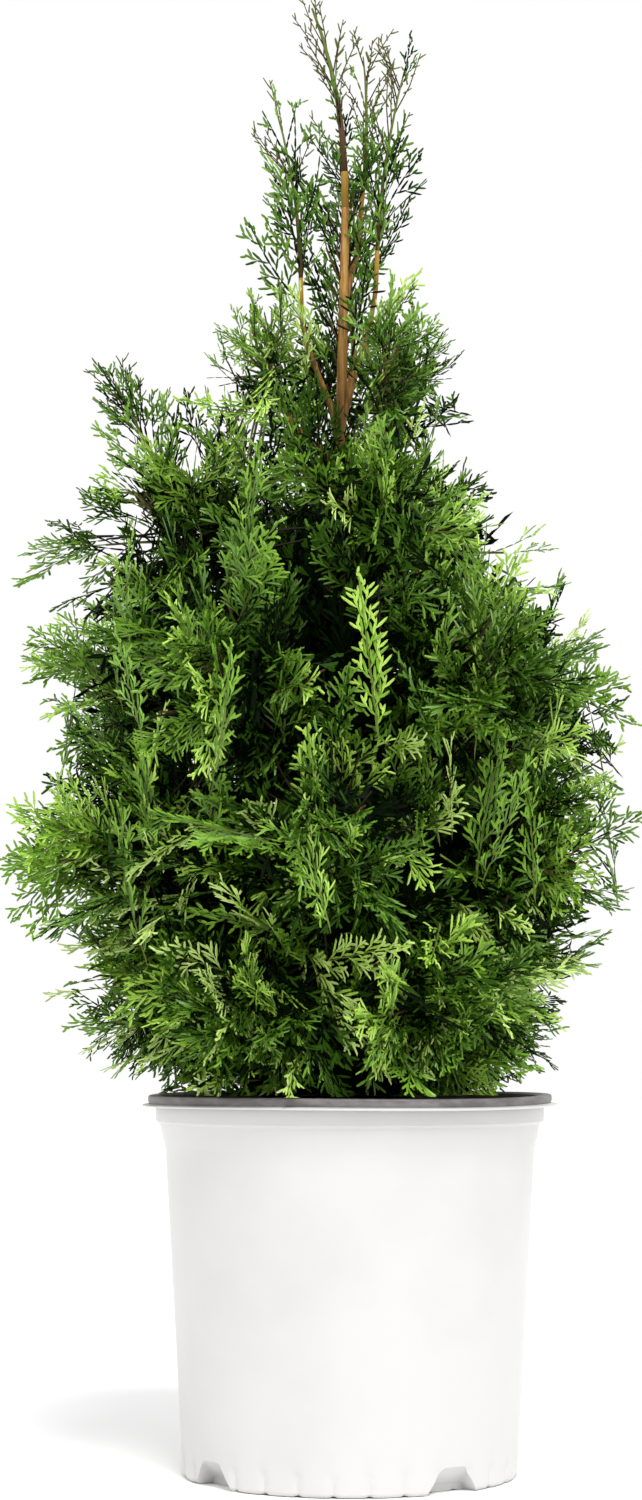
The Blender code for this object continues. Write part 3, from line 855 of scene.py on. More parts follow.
def planFronds(mass):
    # the solids' toothed fronds: each becomes a small bough of sprays
    rng = random.Random(mass["seed"])
    heading, root = mass["heading"], mass["root"]
    stemRun = clearRun(mass, root + heading * 0.002, heading)
    mass["stemRun"] = stemRun
    side = unit(np.cross(heading, (0, 0, 1)))
    over = np.cross(side, heading)
    turn = rng.uniform(0, math.tau)
    fronds = []
    for number in range(mass["fronds"]):
        share = number / (mass["fronds"] - 1)
        start = root + heading * stemRun * (0.20 + 0.36 * share)
        spread = math.radians(74 - 74 * share**0.8)
        turn += crown["golden"]
        for attempt in range(10):
            swing = turn + attempt * 0.35 * (-1) ** attempt
            leaning = side * math.cos(swing) + over * math.sin(swing)
            direction = unit(heading * math.cos(spread) + leaning * math.sin(spread))
            run = clearRun(mass, start, direction, rng.uniform(0.96, 1.0) if share < 1 else 1)
            length = min(run, stemRun) if share == 1 else min(run, crown["longestFrond"])
            if length < crown["shortestFrond"]:
                continue
            across = turnAbout(anySide(direction), direction, rng.uniform(0, math.pi))
            widest = min(length, crown["longestFrond"]) * crown["frondShare"]
            width = max(widest * (1 - attempt * 0.05), 0.018)
            if bladeFits(mass, start, direction, across, length, width, 0.0014):
                fronds.append((start, direction, across, length, width))
                break
    return fronds


def planPlume(mass):
    rng = random.Random(mass["seed"])
    root, tip, heading = mass["root"], mass["tip"], mass["heading"]
    side = unit(np.cross(heading, (0, 1, 0)))
    over = np.cross(side, heading)
    bow = side * np.linalg.norm(tip - root) * rng.uniform(-0.05, 0.05)
    stem = [root + (tip - root) * k / 6 + bow * math.sin(math.pi * k / 6) for k in range(6)]
    fronds = []
    for number in range(mass["fronds"]):
        share = number / (mass["fronds"] - 1)
        place = (0.06 + 0.80 * share) * 5
        low = stem[int(place)]
        start = low + (stem[min(int(place) + 1, 5)] - low) * (place % 1)
        for attempt in range(8):
            turn = number * math.pi + rng.uniform(-1.0, 1.0) * (1 + attempt * 0.3)
            leaning = side * math.cos(turn) + over * math.sin(turn)
            direction = unit(heading + leaning * (0.70 - 0.40 * share))
            wanted = mass["longest"] * (1 - 0.35 * share) * rng.uniform(0.85, 1.1)
            if share == 1:
                direction, wanted = heading, np.linalg.norm(tip - start)
            length = min(clearRun(mass, start, direction), wanted)
            if length < 0.014:
                continue
            across = leaning if rng.random() < 0.7 else np.cross(direction, leaning)
            across = unit(across - direction * np.dot(across, direction))
            width = min(length * crown["frondShare"], 0.026)
            if bladeFits(mass, start, direction, across, length, width, 0.0009):
                fronds.append((start, direction, across, length, width))
                break
    return stem, fronds


# Limbs: trunk and boughs with stringy bark in relief
bark = {
    "trunkSides": 28,
    "trunkRings": 150,
    "boughSides": 10,
    "boughRings": 16,
    "strips": 0.075,
    "seed": 3,
}


def barkRelief(rows, sides, depth, seed):
    # long shallow strips that drift round the limb and break up
    rng = np.random.default_rng(seed)
    waves = [
        (rng.integers(2, sides // 2), rng.uniform(0, math.tau), rng.uniform(-0.5, 0.5)) for _ in range(7)
    ]

    def relief(k, angles):
        total = sum(np.sin(n * angles + phase + drift * k) for n, phase, drift in waves)
        knots = 0.5 * np.sin(angles + k * 0.21) * math.sin(k * 0.37)
        return depth * (total / 4 + knots)

    return relief


def makeLimbs():
    heights = np.linspace(crown["trunkFoot"], crown["trunkFork"], bark["trunkRings"])
    points = [trunkCentre(z) for z in heights]
    points[0][:2] = 0
    radii = [trunkRadius(z) for z in heights]
    heap = Heap()
    relief = barkRelief(bark["trunkRings"], bark["trunkSides"], bark["strips"], bark["seed"])
    vertices, triangles = tube(points, radii, bark["trunkSides"], relief)
    vertices[:, 2] = np.maximum(vertices[:, 2], crown["trunkFoot"])
    heap.add(vertices, triangles, 0)
    piece = heap.piece("trunk_bark", [barkMaterial], True)
    finishPiece(piece, "bark", "trunk")
    heap = Heap()
    for number, mass in enumerate(masses):
        if not mass["drop"]:
            continue
        start, handles, end = boughCourse(mass)
        if mass["tier"] in ("shoulder", "plumes"):  # the highest limbs leave the trunk steeply
            low = trunkCentre(start[2] - 0.014)
            span = np.linalg.norm(end - low)
            rising = unit(end - low) * (1, 1, 0.6)
            socket = end - mass["heading"] * crown["collar"]
            leaving = low + unit(rising + (0, 0, 0.8)) * span * 0.35
            handles = (low, leaving, socket - mass["heading"] * span * 0.3, socket)
            start = low
        path = [start + (trunkCentre(start[2] - 0.004) - start) * 0.5]
        path += [bezier(handles, t) for t in np.linspace(0, 1, bark["boughRings"])] + [end]
        slim = 1 if mass["dense"] else 0.62
        shares = np.linspace(0, 1, len(path))
        radii = slim * boughRadius(shares)
        radii[0] *= 1.35  # swollen where it joins the trunk
        relief = barkRelief(len(path), bark["boughSides"], 0.05, number)
        heap.add(*tube(path, radii, bark["boughSides"], relief), 0)
    piece = heap.piece("bough_bark", [barkMaterial], True)
    finishPiece(piece, "bark", *[f"bough_{mass['name']}" for mass in masses if mass["drop"]])


makeLimbs()
print("limbs made")


# Sprays: flat fans of scaly branchlets, made once for each length and laid along the fronds
spray = {
    "lengths": (0.036, 0.052, 0.068, 0.086),
    "variants": 4,
    "sideStep": 0.0050,
    "twigStep": 0.0029,
    "branchletWidth": 0.0017,
    "fold": 0.0007,
    "angleAtRoot": 48,
    "angleAtTip": 26,
    "seed": 11,
}
# one branchlet: blunt, widest past its middle, folded along its midline
bladeShape = ((0, 0, 1), (0.42, -0.46, 0), (0.42, 0.46, 0), (0.86, -0.34, 0), (0.86, 0.34, 0), (1, 0, 1))
bladeFaces = np.array(((0, 1, 3), (0, 3, 5), (0, 5, 4), (0, 4, 2)))


class Spray:
    # a fan in its own plane: u along, v across, w through; tones count up towards the tips
    def __init__(self, length, seed, openness=1.0, coarse=1.0, breadth=1.0):
        self.length = length
        self.points = []
        self.tones = []
        self.branches = []
        self.coarse = coarse
        self.openness = openness
        rng = random.Random(seed)
        self.wander = rng.uniform(-0.05, 0.05)
        joints = [self.axisPoint(length * t) for t in np.linspace(0, 1, 7)]
        for k, (low, high) in enumerate(zip(joints, joints[1:])):
            self.branchlet(low - (high - low) * 0.15, high, 0.95 - 0.05 * k, 0 if k < 4 else 1)
        step = spray["sideStep"] * openness * coarse
        place = step * 1.3
        side = rng.choice((-1, 1))
        while place < length * 0.97:
            t = place / length
            reach = length * 0.66 * (t + 0.12) ** 0.5 * (1 - t) ** 0.72 * rng.uniform(0.60, 1.15) * breadth
            angle = math.radians(spray["angleAtRoot"] + (spray["angleAtTip"] - spray["angleAtRoot"]) * t)
            angle *= 0.5 + 0.5 * breadth
            if reach > 0.0036:
                self.sideBranch(self.axisPoint(place), side, angle + rng.uniform(-0.12, 0.12), reach, t, rng)
            side = -side
            place += step * rng.uniform(0.85, 1.15)
        self.faces = np.concatenate([bladeFaces + 6 * k for k in range(len(self.points))])
        self.points = np.concatenate(self.points)
        self.tones = np.repeat(self.tones, 4)

    def axisPoint(self, place):
        return np.array((place, self.length * self.wander * math.sin(math.pi * place / self.length)))

    def sideBranch(self, start, side, angle, reach, t, rng):
        bend, tilt, own = rng.uniform(0.10, 0.26), rng.uniform(-0.30, 0.30), len(self.points)
        first = np.array((math.cos(angle), side * math.sin(angle)))
        second = np.array((math.cos(angle - bend), side * math.sin(angle - bend)))
        middle = start + first * reach * 0.5
        end = middle + second * reach * 0.5
        self.branchlet(start, middle, 0.85, 1)
        self.branchlet(middle - second * reach * 0.06, end, 1.0, 2)
        step = spray["twigStep"] * self.openness * self.coarse
        place, turn, outer = step * rng.uniform(0.8, 1.3), -side, own + 2
        while place < reach * 0.86:
            share = place / reach
            spot = start + first * place if share < 0.5 else middle + second * (place - reach * 0.5)
            along = first if share < 0.5 else second
            swing = turn * math.radians(rng.uniform(24, 36))
            cosine, sine = math.cos(swing), math.sin(swing)
            heading = np.array((along[0] * cosine - along[1] * sine, along[0] * sine + along[1] * cosine))
            size = min(0.0100 * self.coarse, (reach - place) * 0.60 + 0.0046) * rng.uniform(0.7, 1.2)
            self.branchlet(spot, spot + heading * size, 0.98, 2 if share > 0.55 or t > 0.6 else 1)
            outer += share < 0.5
            turn = -turn
            place += step * rng.uniform(0.8, 1.2)
        self.branches.append((own, outer, len(self.points)))
        for points in self.points[own:]:  # each side branch stands a little out of the plane
            points[:, 2] += tilt * np.linalg.norm(points[:, :2] - start, axis=1)

    def branchlet(self, low, high, width, tone):
        along = high - low
        across = np.array((-along[1], along[0])) / np.linalg.norm(along)
        across = across * spray["branchletWidth"] * width * self.coarse
        fold = spray["fold"] * width * self.coarse
        self.points.append(np.array([(*(low + along * u + across * v), fold * w) for u, v, w in bladeShape]))
        self.tones.append(tone)

    def clearOf(self, blocked):
        # a side branch that meets an opening ends there, but the spray's own stem may cross it
        kept = ~blocked
        kept[:6] = True
        for first, outer, last in self.branches:
            if blocked[first]:
                kept[first:last] = False
            elif blocked[first + 1]:
                kept[outer:last] = False
        return kept

    def lay(self, root, along, across, length, bend, cup):
        # the spray in the crown: scaled to its length, arched along and cupped across
        u, v, w = (self.points * (length / self.length)).T
        lift = bend * u * u / length + cup * v * v / length + w
        return root + np.outer(u, along) + np.outer(v, across) + np.outer(lift, np.cross(along, across))


def sprayKit(seed, openness, coarse, breadth):
    return [
        [Spray(length, seed + 10 * i + j, openness, coarse, breadth) for j in range(spray["variants"])]
        for i, length in enumerate(spray["lengths"])
    ]


fullSprays = sprayKit(spray["seed"], 1.0, 1.0, 1.0)
slimSprays = sprayKit(spray["seed"] + 500, 1.0, 1.0, 0.66)
innerSprays = sprayKit(spray["seed"] + 900, 1.0, 2.1, 1.1)
print("spray sizes", [len(kind[0].faces) for kind in fullSprays + slimSprays + innerSprays])


# Foliage: sprays along each frond, a mantle over each mass and ones inside in the darkest greens as painted
# shade
foliage = {
    "mantle": {"skirt": 132, "low": 100, "middle": 100, "upper": 82, "shoulder": 100},
    "inner": {"skirt": 44, "low": 54, "middle": 54, "upper": 32, "shoulder": 10},
    "overlap": -0.004,
    "reachLow": 0.65,
    "reachHigh": 0.90,
    "standOut": 0.38,
    "behindHollows": 13,
    "hem": (0.236, 0.020),
    "deep": 0.74,
    "uprights": (0.36, 0.60),
    # azimuth in degrees, height, half width: pockets that the outer sprays leave open
    "hollows": (
        (-102, 0.300, 0.019),
        (-107, 0.418, 0.020),
        (-88, 0.402, 0.021),
        (-52, 0.243, 0.016),
        (-95, 0.478, 0.020),
        (-70, 0.335, 0.014),
        (-20, 0.360, 0.013),
        (20, 0.450, 0.021),
        (55, 0.310, 0.020),
        (95, 0.420, 0.022),
        (128, 0.510, 0.018),
        (165, 0.380, 0.018),
        (-150, 0.455, 0.018),
        (145, 0.280, 0.018),
        (-14, 0.556, 0.024),
        (-138, 0.425, 0.015),
        (-126, 0.505, 0.015),
        (16, 0.558, 0.020),
        (178, 0.338, 0.016),
        (2, 0.330, 0.015),
    ),
    # place to the right, height, half width: openings where the sky shows through
    "openings": (
        (-0.128, 0.584, 0.010),
        (-0.122, 0.562, 0.009),
        (-0.138, 0.544, 0.008),
        (-0.115, 0.546, 0.008),
        (-0.093, 0.592, 0.010),
        (-0.126, 0.616, 0.009),
        (-0.074, 0.637, 0.009),
        (-0.165, 0.522, 0.008),
        (-0.167, 0.463, 0.006),
        (-0.152, 0.288, 0.007),
        (0.054, 0.609, 0.009),
        (0.079, 0.540, 0.008),
        (0.092, 0.556, 0.009),
        (0.108, 0.532, 0.008),
        (0.124, 0.500, 0.007),
        (0.056, 0.643, 0.006),
        (0.144, 0.417, 0.007),
        (0.142, 0.444, 0.006),
        (-0.036, 0.786, 0.009),
        (-0.023, 0.770, 0.007),
        (-0.020, 0.722, 0.006),
        (0.002, 0.812, 0.008),
        (0.030, 0.796, 0.006),
        (0.024, 0.750, 0.006),
    ),
    # sprays about the trunk in each tier: lowest, highest, how many
    "trunkSprays": {
        "skirt": (0.232, 0.300, 84),
        "low": (0.290, 0.400, 100),
        "middle": (0.400, 0.500, 96),
        "upper": (0.490, 0.545, 40),
    },
    "heaviest": 185000,
    "innerReach": 0.80,
    "plumeSprays": {
        "wing": 13,
        "spire_left": 12,
        "spire_back": 7,
        "spire_right": 16,
        "fork_right": 9,
        "tip": 7,
    },
    # painted light and shade by place: the upper left takes darker greens as painted shade, the middle right
    # and lower left lighter greens as painted light: left, right, low, high, change of tone
    "patches": (
        (-0.24, -0.03, 0.40, 0.64, -1),
        (0.03, 0.20, 0.34, 0.50, 1),
        (-0.24, -0.03, 0.24, 0.36, 1),
    ),
    "topSprays": 22,
    "bareTips": (0.790, 0.850),
    "seed": 5,
    # how steeply sprays stand at each height, in degrees
    "rise": np.array((
        (0.23, -46),
        (0.27, -26),
        (0.32, -4),
        (0.40, 18),
        (0.48, 36),
        (0.56, 54),
        (0.66, 70),
        (0.80, 80),
    )),
}


def sprayRise(height):
    return math.radians(np.interp(height, *foliage["rise"].T))


def inHollow(point):
    radius, azimuth = math.hypot(point[0], point[1]), math.degrees(math.atan2(point[1], point[0]))
    if radius < crownReach(point[2], math.radians(azimuth)) * 0.62:
        return False
    for bearing, height, halfWidth in foliage["hollows"]:
        aside = math.radians((azimuth - bearing + 180) % 360 - 180) * radius
        if math.hypot(aside, point[2] - height) < halfWidth:
            return True
    return False


def inOpening(points):
    inside = np.zeros(len(points), bool)
    for right, height, halfWidth in foliage["openings"]:
        inside |= np.hypot(points[:, 0] - right, (points[:, 2] - height) * 0.8) < halfWidth
    return inside


def isBuried(point, share):
    return math.hypot(point[0], point[1]) < crownReach(point[2], math.atan2(point[1], point[0])) * share


def addSpray(heap, kit, root, along, facing, length, tone, rng, roll=0.35):
    # facing is the way the flat side looks, turned a little about the spray's axis
    along = unit(along)
    tip = root + along * length
    if inHollow(root + along * length * 0.55) or inHollow(tip):
        return
    if kit is innerSprays and not isBuried(tip, 0.70):
        return
    across = turnAbout(unit(np.cross(facing, along)), along, rng.gauss(0, roll))
    sizes = [abs(math.log(length / l)) for l in spray["lengths"]]
    shape = kit[sizes.index(min(sizes))][rng.randrange(spray["variants"])]
    vertices = shape.lay(root, along, across, length, rng.uniform(-0.22, 0.10), rng.uniform(-0.5, 0.2))
    vertices[:, 2] = np.maximum(vertices[:, 2], crown["floor"] - 0.0018)
    tones = np.clip(shape.tones + tone, 0, 5)
    if tone > 0:
        tones = np.where(shape.tones == 0, 6, tones)
    branchlets = vertices.reshape(-1, 6, 3)
    blocked = inOpening(branchlets.mean(1))
    if kit is innerSprays:  # the dark ones never reach the outline
        blocked |= ~inCrown(branchlets.mean(1), foliage["innerReach"])
    kept = shape.clearOf(blocked)
    tones = tones.reshape(-1, 4)[kept].ravel()
    heap.add(branchlets[kept].reshape(-1, 3), shape.faces[:len(tones)], tones)


def addTwig(heap, start, end, thick, thin, rng, tone):
    # a slightly bowed three-sided twig
    span = np.linalg.norm(end - start)
    bow = anySide(unit(end - start)) * span * rng.uniform(-0.06, 0.06)
    path = [start, (start + end) / 2 + bow, end]
    heap.add(*tube(path, (thick, (thick + thin) / 2, thin), 3), tone)


def dressFrond(heap, twigs, mass, frond, rng):
    start, direction, across, length, width = frond
    normal = np.cross(direction, across)
    terminal = min(length * 0.78, 0.080)
    tip = start + direction * length
    tone = rng.choice((0, 0, 1, 1, 2))
    addTwig(twigs, start, tip - direction * terminal * 0.6, 0.0011, 0.0007, rng, 1)
    addSpray(heap, fullSprays, tip - direction * terminal, direction, normal, terminal, tone, rng, 0.25)
    count = 4 if length > 0.06 else 2
    for number in range(count):
        share = 0.26 + 0.46 * number / count
        heading = turnAbout(direction, normal, (-1) ** number * math.radians(rng.uniform(34, 52)))
        root = start + direction * length * share
        size = np.clip(width * rng.uniform(0.85, 1.15), 0.030, 0.066)
        size = min(size, max(clearRun(mass, root, heading, 1.0, foliage["overlap"]), 0.026))
        addSpray(heap, fullSprays, root, heading, normal, size, tone - rng.choice((0, 0, 1)), rng)


def mantleSpray(heap, twigs, mass, middle, direction, rng):
    # one spray on the skin of a mass and, where it faces the open, one behind it in the darkest greens as
    # painted shade
    rounding = 1 - 0.05 * (1 - np.dot(direction, mass["outward"]))
    share = rng.uniform(foliage["reachLow"], foliage["reachHigh"]) * rounding
    run = clearRun(mass, middle, direction, share, foliage["overlap"])
    if run < 0.022:
        return
    tip = middle + direction * run
    depth = math.hypot(tip[0], tip[1]) / crownReach(tip[2], math.atan2(tip[1], tip[0]))
    facesOut = depth > 0.62 or not inCrown((tip + direction * 0.006)[None], share)[0]
    if not facesOut and rng.random() < 0.62:
        return
    outward = unit((tip[0], tip[1], 0))
    rise = sprayRise(tip[2]) + rng.gauss(0, 0.28)
    wanted = outward * math.cos(rise) + np.array((0, 0, math.sin(rise)))
    jitter = np.array([rng.gauss(0, 0.30) for _ in range(3)])
    along = unit(0.45 * direction + 0.75 * wanted + jitter)
    facing = outward + np.array((0, 0, 0.3)) if rng.random() < 0.60 else np.cross(outward, (0, 0, 1))
    if abs(np.dot(unit(facing), along)) > 0.93:
        facing = anySide(along)
    length = min(rng.uniform(0.046, 0.086), run * 1.2)
    # painted shade and light: sprays deep in the crown take darker greens, those at its skin lighter ones
    tone = rng.choice((-1, -1, 0, 1) if depth < foliage["deep"] else (-1, 0, 0, 1, 2, 2, 3, 3))
    # painted light: low sprays at the crown's skin are lightened further
    if tip[2] < 0.42 and depth > 0.76 and rng.random() < 0.75:
        tone += 1
    # painted shade on the upper left and painted light on the middle right and lower left
    for left, right, low, high, paintedToneShift in foliage["patches"]:
        if left < tip[0] < right and low < tip[2] < high and rng.random() < 0.6:
            tone += paintedToneShift
    # painted shade: sprays that face inward take the darkest greens
    if not facesOut:
        tone = rng.choice((-1, -1, 0))
    kit = fullSprays if rng.random() < 0.7 else slimSprays
    if facesOut and rng.random() < foliage["standOut"]:
        tip = tip + along * rng.uniform(0.008, 0.032)
        over = math.hypot(tip[0], tip[1]) - crownReach(tip[2], math.atan2(tip[1], tip[0])) - 0.004
        tip = tip - outward * max(over, 0)
        kit = slimSprays
    low, high = foliage["uprights"]
    if facesOut and low < tip[2] < high and rng.random() < 0.12:
        # a long bright plume that stands up in front of the rest
        upward = outward * rng.uniform(0.0, 0.3)
        along = unit(upward + (rng.uniform(-0.25, 0.25), rng.uniform(-0.25, 0.25), 1))
        length, tone, kit, facing = rng.uniform(0.060, 0.095), rng.choice((1, 1, 1, 2)), slimSprays, outward
        tip = tip + (0, 0, 0.02)
    start = tip - along * length
    addSpray(heap, kit, start, along, facing, length, tone, rng, 0.5)
    shade = 0 if mass["tier"] == "shoulder" else 3
    addTwig(twigs, middle + (start - middle) * 0.3, start + along * length * 0.2, 0.0009, 0.0006, rng, shade)
    backing = {"shoulder": 0, "upper": 0.45}.get(mass["tier"], 0.70)
    if facesOut and rng.random() < backing:
        behind = unit(along + np.array([rng.gauss(0, 0.35) for _ in range(3)]))
        size = rng.uniform(0.050, 0.076)
        start = middle + direction * run * rng.uniform(0.74, 0.86) - behind * size * 0.8
        # painted shade: the spray behind takes the darkest greens
        addSpray(heap, fullSprays, start, behind, facing, size, rng.choice((-1, -1, 0)), rng, 0.8)


def dressMass(heap, twigs, mass):
    rng = random.Random(mass["seed"] + 7000)
    fronds = planFronds(mass)
    stemRun, heading, root = mass["stemRun"], mass["heading"], mass["root"]
    middle = root + heading * stemRun * 0.44
    stem = [root + heading * stemRun * t for t in np.linspace(0, 0.62, 6)]
    twigs.add(*tube(stem, np.linspace(0.0021, 0.0010, 6), 6), 1)
    for frond in fronds:
        dressFrond(heap, twigs, mass, frond, rng)
    count = foliage["mantle"][mass["tier"]]
    for number in range(count):
        z = 1 - 2 * (number + 0.5) / count
        angle = number * crown["golden"] + rng.uniform(-0.2, 0.2)
        spread = math.sqrt(1 - z * z)
        direction = np.array((spread * math.cos(angle), spread * math.sin(angle), z))
        if np.dot(direction, mass["outward"]) > -0.3:
            mantleSpray(heap, twigs, mass, middle, direction, rng)
    # painted shade: the sprays inside a mass take the darkest greens, near black below the shoulders
    for number in range(foliage["inner"][mass["tier"]]):
        direction = unit([rng.gauss(0, 1) for _ in range(3)])
        run = clearRun(mass, middle, direction, 0.72, 0)
        if run < 0.018:
            continue
        along = unit(direction + np.array([rng.gauss(0, 0.7) for _ in range(3)]))
        if mass["tier"] == "shoulder":
            along = unit(along + (0, 0, 0.5))
        length = min(rng.uniform(0.05, 0.08), run * 1.3)
        start = middle + direction * run * rng.uniform(0.30, 0.80) - along * length * 0.8
        facing = mass["outward"] + np.array([rng.gauss(0, 0.5) for _ in range(3)])
        if mass["tier"] == "shoulder":
            addSpray(heap, fullSprays, start, along, facing, length, rng.choice((-1, 0)), rng, 0.6)
        else:
            addSpray(heap, innerSprays, start, along, facing, length, rng.choice((-2, -2, -1)), rng, 0.6)


def dressPlume(heap, twigs, mass):
    # a leader: short sprays climb it in a spiral, and bare wiry twigs stand out near its end
    rng = random.Random(mass["seed"] + 7000)
    stem, fronds = planPlume(mass)
    stem = np.array(stem + [mass["root"] + (mass["tip"] - mass["root"]) * 0.96])
    thick = 0.0024 if mass["name"] == "tip" else 0.0015
    ceiling = min(mass["tip"][2] + 0.014, 0.873)
    for low, high, tone in ((0, 2, 2), (1, 4, 1), (3, 7, 0)):
        part = stem[low:high]
        twigs.add(*tube(part, [thick * (1 - 0.12 * k) for k in range(low, low + len(part))], 8), tone)
    for frond in fronds:
        start, direction, across, length, width = frond
        if endsBare(start[2] + direction[2] * length, rng):
            addWiryTwig(twigs, start, direction, ceiling, rng, length)
            continue
        tone = rng.choice((-1, 0, 1))
        addSpray(heap, slimSprays, start, direction, np.cross(direction, across), length, tone, rng, 0.25)
    side = unit(np.cross(mass["heading"], (0, 1, 0)))
    over = np.cross(side, mass["heading"])
    count = foliage["plumeSprays"][mass["name"]]
    for number in range(count):
        share = (number + 0.5) / count
        root = alongStem(stem, share * 0.97)
        turn = number * crown["golden"]
        leaning = side * math.cos(turn) + over * math.sin(turn) * 0.8
        direction = unit(mass["heading"] + leaning * (0.50 - 0.20 * share))
        size = max(mass["longest"] * (1.25 - 0.55 * share) * rng.uniform(0.7, 1.05), 0.020)
        size = min(size, (ceiling - root[2]) / max(direction[2], 0.1))
        if endsBare(root[2] + direction[2] * size, rng):
            addWiryTwig(twigs, root, direction, ceiling, rng, size)
            continue
        facing = np.array((0, -1, 0)) + leaning * rng.uniform(-0.8, 0.8)
        tone = rng.choice((-1, 0, 0, 0, 1))
        kit = fullSprays if rng.random() < 0.7 - 0.5 * share else slimSprays
        addSpray(heap, kit, root, direction, facing, size, tone, rng, 0.4)
    for number in range(4):
        root = alongStem(stem, rng.uniform(0.55, 0.92))
        leaning = side * rng.choice((-1, 1)) + over * rng.uniform(-0.6, 0.6)
        addWiryTwig(twigs, root, unit(mass["heading"] + leaning * rng.uniform(0.3, 0.7)), ceiling, rng)


def dressTop(heap, twigs):
    # sprays straight off the trunk under the fork, at its sides and back
    rng = random.Random(foliage["seed"])
    for number in range(foliage["topSprays"]):
        share = (number + 0.5) / foliage["topSprays"]
        root = trunkCentre(0.640 + 0.105 * share)
        turn = number * crown["golden"]
        outward = np.array((math.cos(turn), math.sin(turn), 0))
        if outward[1] < -0.75:
            continue
        direction = unit(outward * rng.uniform(0.45, 0.75) + (0, 0, 1))
        facing = np.array((0, -1, 0)) + outward * rng.uniform(-0.8, 0.8)
        tone = rng.choice((-1, -1, 0, 0, 1, 1))
        size = rng.uniform(0.040, 0.062)
        addTwig(twigs, root, root + direction * size * 0.4, 0.0009, 0.0006, rng, 1)
        addSpray(heap, slimSprays, root + direction * 0.006, direction, facing, size, tone, rng, 0.5)


def dressTrunk(heap, twigs, tier):
    # sprays on short twigs all round the trunk: the darkest greens inside as painted shade, green where they
    # show in front of the foot
    lowest, highest, count = foliage["trunkSprays"][tier]
    rng = random.Random(foliage["seed"] + count)
    for number in range(count):
        height = lowest + (highest - lowest) * (number + 0.5) / count
        turn = number * crown["golden"] + rng.uniform(-0.3, 0.3)
        outward = np.array((math.cos(turn), math.sin(turn), 0))
        rise = sprayRise(height + (0.02 if tier == "skirt" else 0.05)) * 0.8 + rng.gauss(0, 0.2)
        direction = outward * math.cos(rise) + np.array((0, 0, math.sin(rise)))
        base = trunkCentre(height)
        root = base + direction * rng.uniform(0.020, 0.050 if tier == "skirt" else 0.070)
        facing = outward * 0.9 + np.array([rng.gauss(0, 0.4) for _ in range(3)])
        kit, tone = innerSprays, rng.choice((-2, -2, -1))
        if tier == "skirt" and number % 3:
            kit, tone = fullSprays, rng.choice((0, 1, 1, 2))
        if tier == "upper":
            kit, tone = fullSprays, rng.choice((-1, -1, 0))
        length = rng.uniform(0.060, 0.086)
        if tier == "upper" and not isBuried(root + direction * length, 0.90):
            continue
        addTwig(twigs, base, root + direction * 0.010, 0.0010, 0.0007, rng, 3)
        addSpray(heap, kit, root, direction, facing, length, tone, rng, 0.6)


def backHollows(heap, twigs, tier):
    # dark sprays deep behind each pocket and round the foot, so that the crown shows its shaded heart
    lowest, highest, count = foliage["trunkSprays"][tier]
    rng = random.Random(foliage["seed"] + 50 + count)
    hem = tuple((bearing, *foliage["hem"]) for bearing in range(-150, 180, 60))
    for bearing, middle, halfWidth in foliage["hollows"] + hem:
        if not lowest <= middle < highest:
            continue
        azimuth = math.radians(bearing)
        outward = np.array((math.cos(azimuth), math.sin(azimuth), 0))
        sideways = np.array((-outward[1], outward[0], 0))
        for number in range(foliage["behindHollows"]):
            away = 1.5 * halfWidth * math.sqrt((number + 0.5) / foliage["behindHollows"])
            height = middle + away * math.sin(number * crown["golden"])
            aside = away * math.cos(number * crown["golden"])
            spot = outward * crownReach(height, azimuth) * rng.uniform(0.26, 0.50) + sideways * aside
            spot = spot + (0, 0, height)
            along = unit(sideways * rng.uniform(-0.8, 0.8) + outward * 0.25 + (0, 0, 0.7))
            length = rng.uniform(0.056, 0.080)
            root = spot - along * length * 0.5
            facing = outward + np.array([rng.gauss(0, 0.25) for _ in range(3)])
            base = trunkCentre(max(root[2] - 0.02, 0.225))
            addTwig(twigs, base, root + along * 0.010, 0.0010, 0.0007, rng, 3)
            addSpray(heap, innerSprays, root, along, facing, length, -2, rng, 0.3)


def alongStem(stem, share):
    place = min(share, 0.999) * (len(stem) - 1)
    low = stem[int(place)]
    return low + (stem[int(place) + 1] - low) * (place % 1)


def endsBare(height, rng):
    return rng.random() < np.interp(height, foliage["bareTips"], (0, 1))


def addWiryTwig(twigs, root, direction, ceiling, rng, length=0.034):
    # a nearly bare twig with a few short spurs
    length = min(length * rng.uniform(0.9, 1.1), (ceiling + 0.001 - root[2]) / max(direction[2], 0.1))
    across = anySide(direction)
    addTwig(twigs, root, root + direction * length, 0.0005, 0.0003, rng, 1)
    for number in range(5):
        start = root + direction * length * (0.35 + 0.14 * number)
        spur = unit(direction + across * 0.8 * (-1) ** number)
        addTwig(twigs, start, start + spur * rng.uniform(0.003, 0.008), 0.0006, 0.0004, rng, 0)


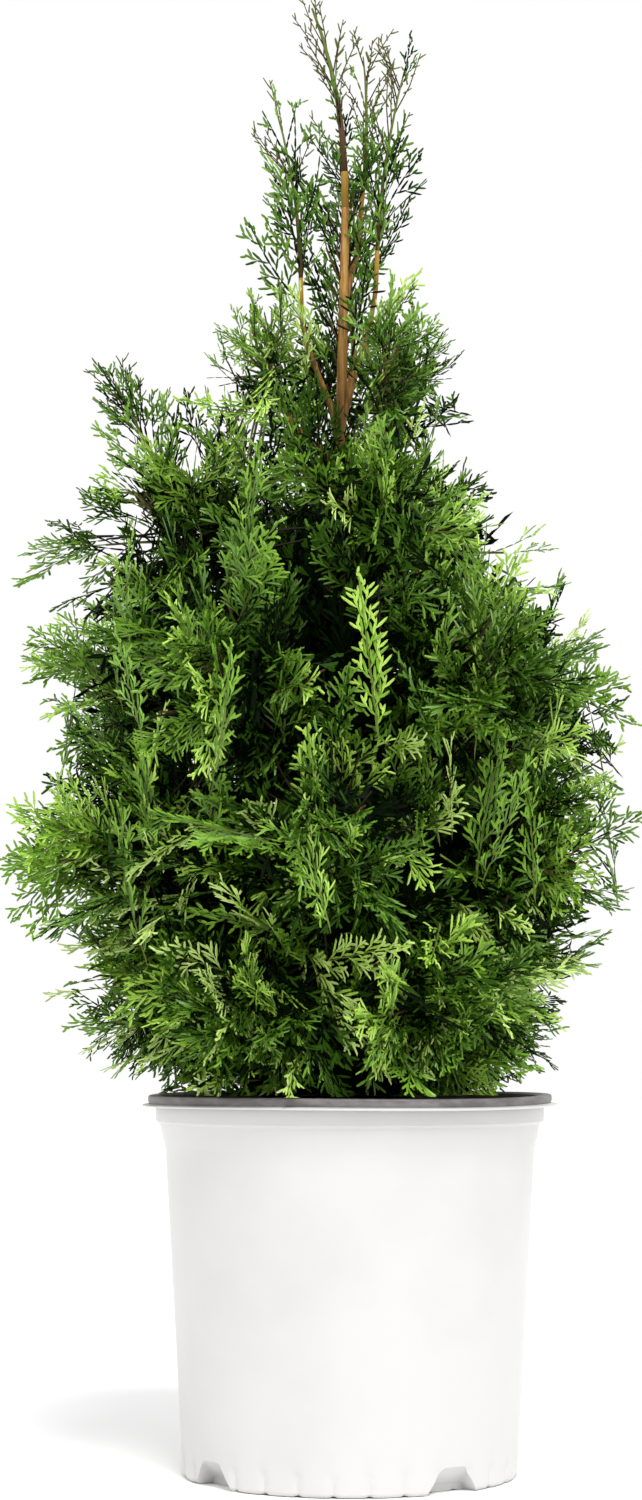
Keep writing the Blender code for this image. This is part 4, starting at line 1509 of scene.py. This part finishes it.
def makeFoliage():
    twigs = Heap()
    groups = {}
    for mass in masses:
        groups.setdefault(mass["tier"], []).append(mass)
    total = 0
    for tier, members in groups.items():
        number, batch, names = 1, Heap(), []
        if tier in foliage["trunkSprays"]:
            dressTrunk(batch, twigs, tier)
            backHollows(batch, twigs, tier)
        for mass in members:
            heap = Heap()
            (dressMass if mass["dense"] else dressPlume)(heap, twigs, mass)
            if batch.size() + heap.size() > foliage["heaviest"]:
                finishSprays(batch, f"sprays_{tier}_{number}", names)
                number, batch, names = number + 1, Heap(), []
            batch.take(heap)
            names.append(f"foliage_{mass['name']}")
            total += heap.size()
        if tier == "plumes":
            dressTop(batch, twigs)
        finishSprays(batch, f"sprays_{tier}_{number}", names)
    piece = twigs.piece("crown_twigs", twigMaterials, True)
    finishPiece(piece, "bark", *[f"foliage_{mass['name']}" for mass in masses])
    print("foliage triangles", total, "twig triangles", twigs.size())


def finishSprays(batch, name, nodes):
    piece = batch.piece(name, leafMaterials + twigMaterials[:1])
    finishPiece(piece, "foliage", *nodes)
    print(name, batch.size())


makeFoliage()


# Room: a pale floor, a white surround and one soft sun
room = {
    "surround": 1.0,
    "floor": (0.93, 0.93, 0.93),
    "sun": 2.4,
    "softness": 22,
    "sunway": (-0.20, 0.74, -1.05),
}


def makeRoom():
    world = bpy.data.worlds.new("surround")
    world.use_nodes = True
    background = world.node_tree.nodes["Background"]
    background.inputs["Color"].default_value = (1, 1, 1, 1)
    background.inputs["Strength"].default_value = room["surround"]
    scene.world = world
    form = bmesh.new()
    bmesh.ops.create_grid(form, x_segments=1, y_segments=1, size=8)
    mesh = bpy.data.meshes.new("floor")
    form.to_mesh(mesh)
    form.free()
    floor = bpy.data.objects.new("floor", mesh)
    floor.location.z = cadBox[0][2] - 0.0002
    mesh.materials.append(Finish("floor", room["floor"], 0.9).material)
    scene.collection.objects.link(floor)
    data = bpy.data.lights.new("sun", "SUN")
    data.energy = room["sun"]
    data.angle = math.radians(room["softness"])
    sun = bpy.data.objects.new("sun", data)
    sun.rotation_euler = Vector(room["sunway"]).to_track_quat("-Z", "Y").to_euler()
    scene.collection.objects.link(sun)


makeRoom()
print("room made")
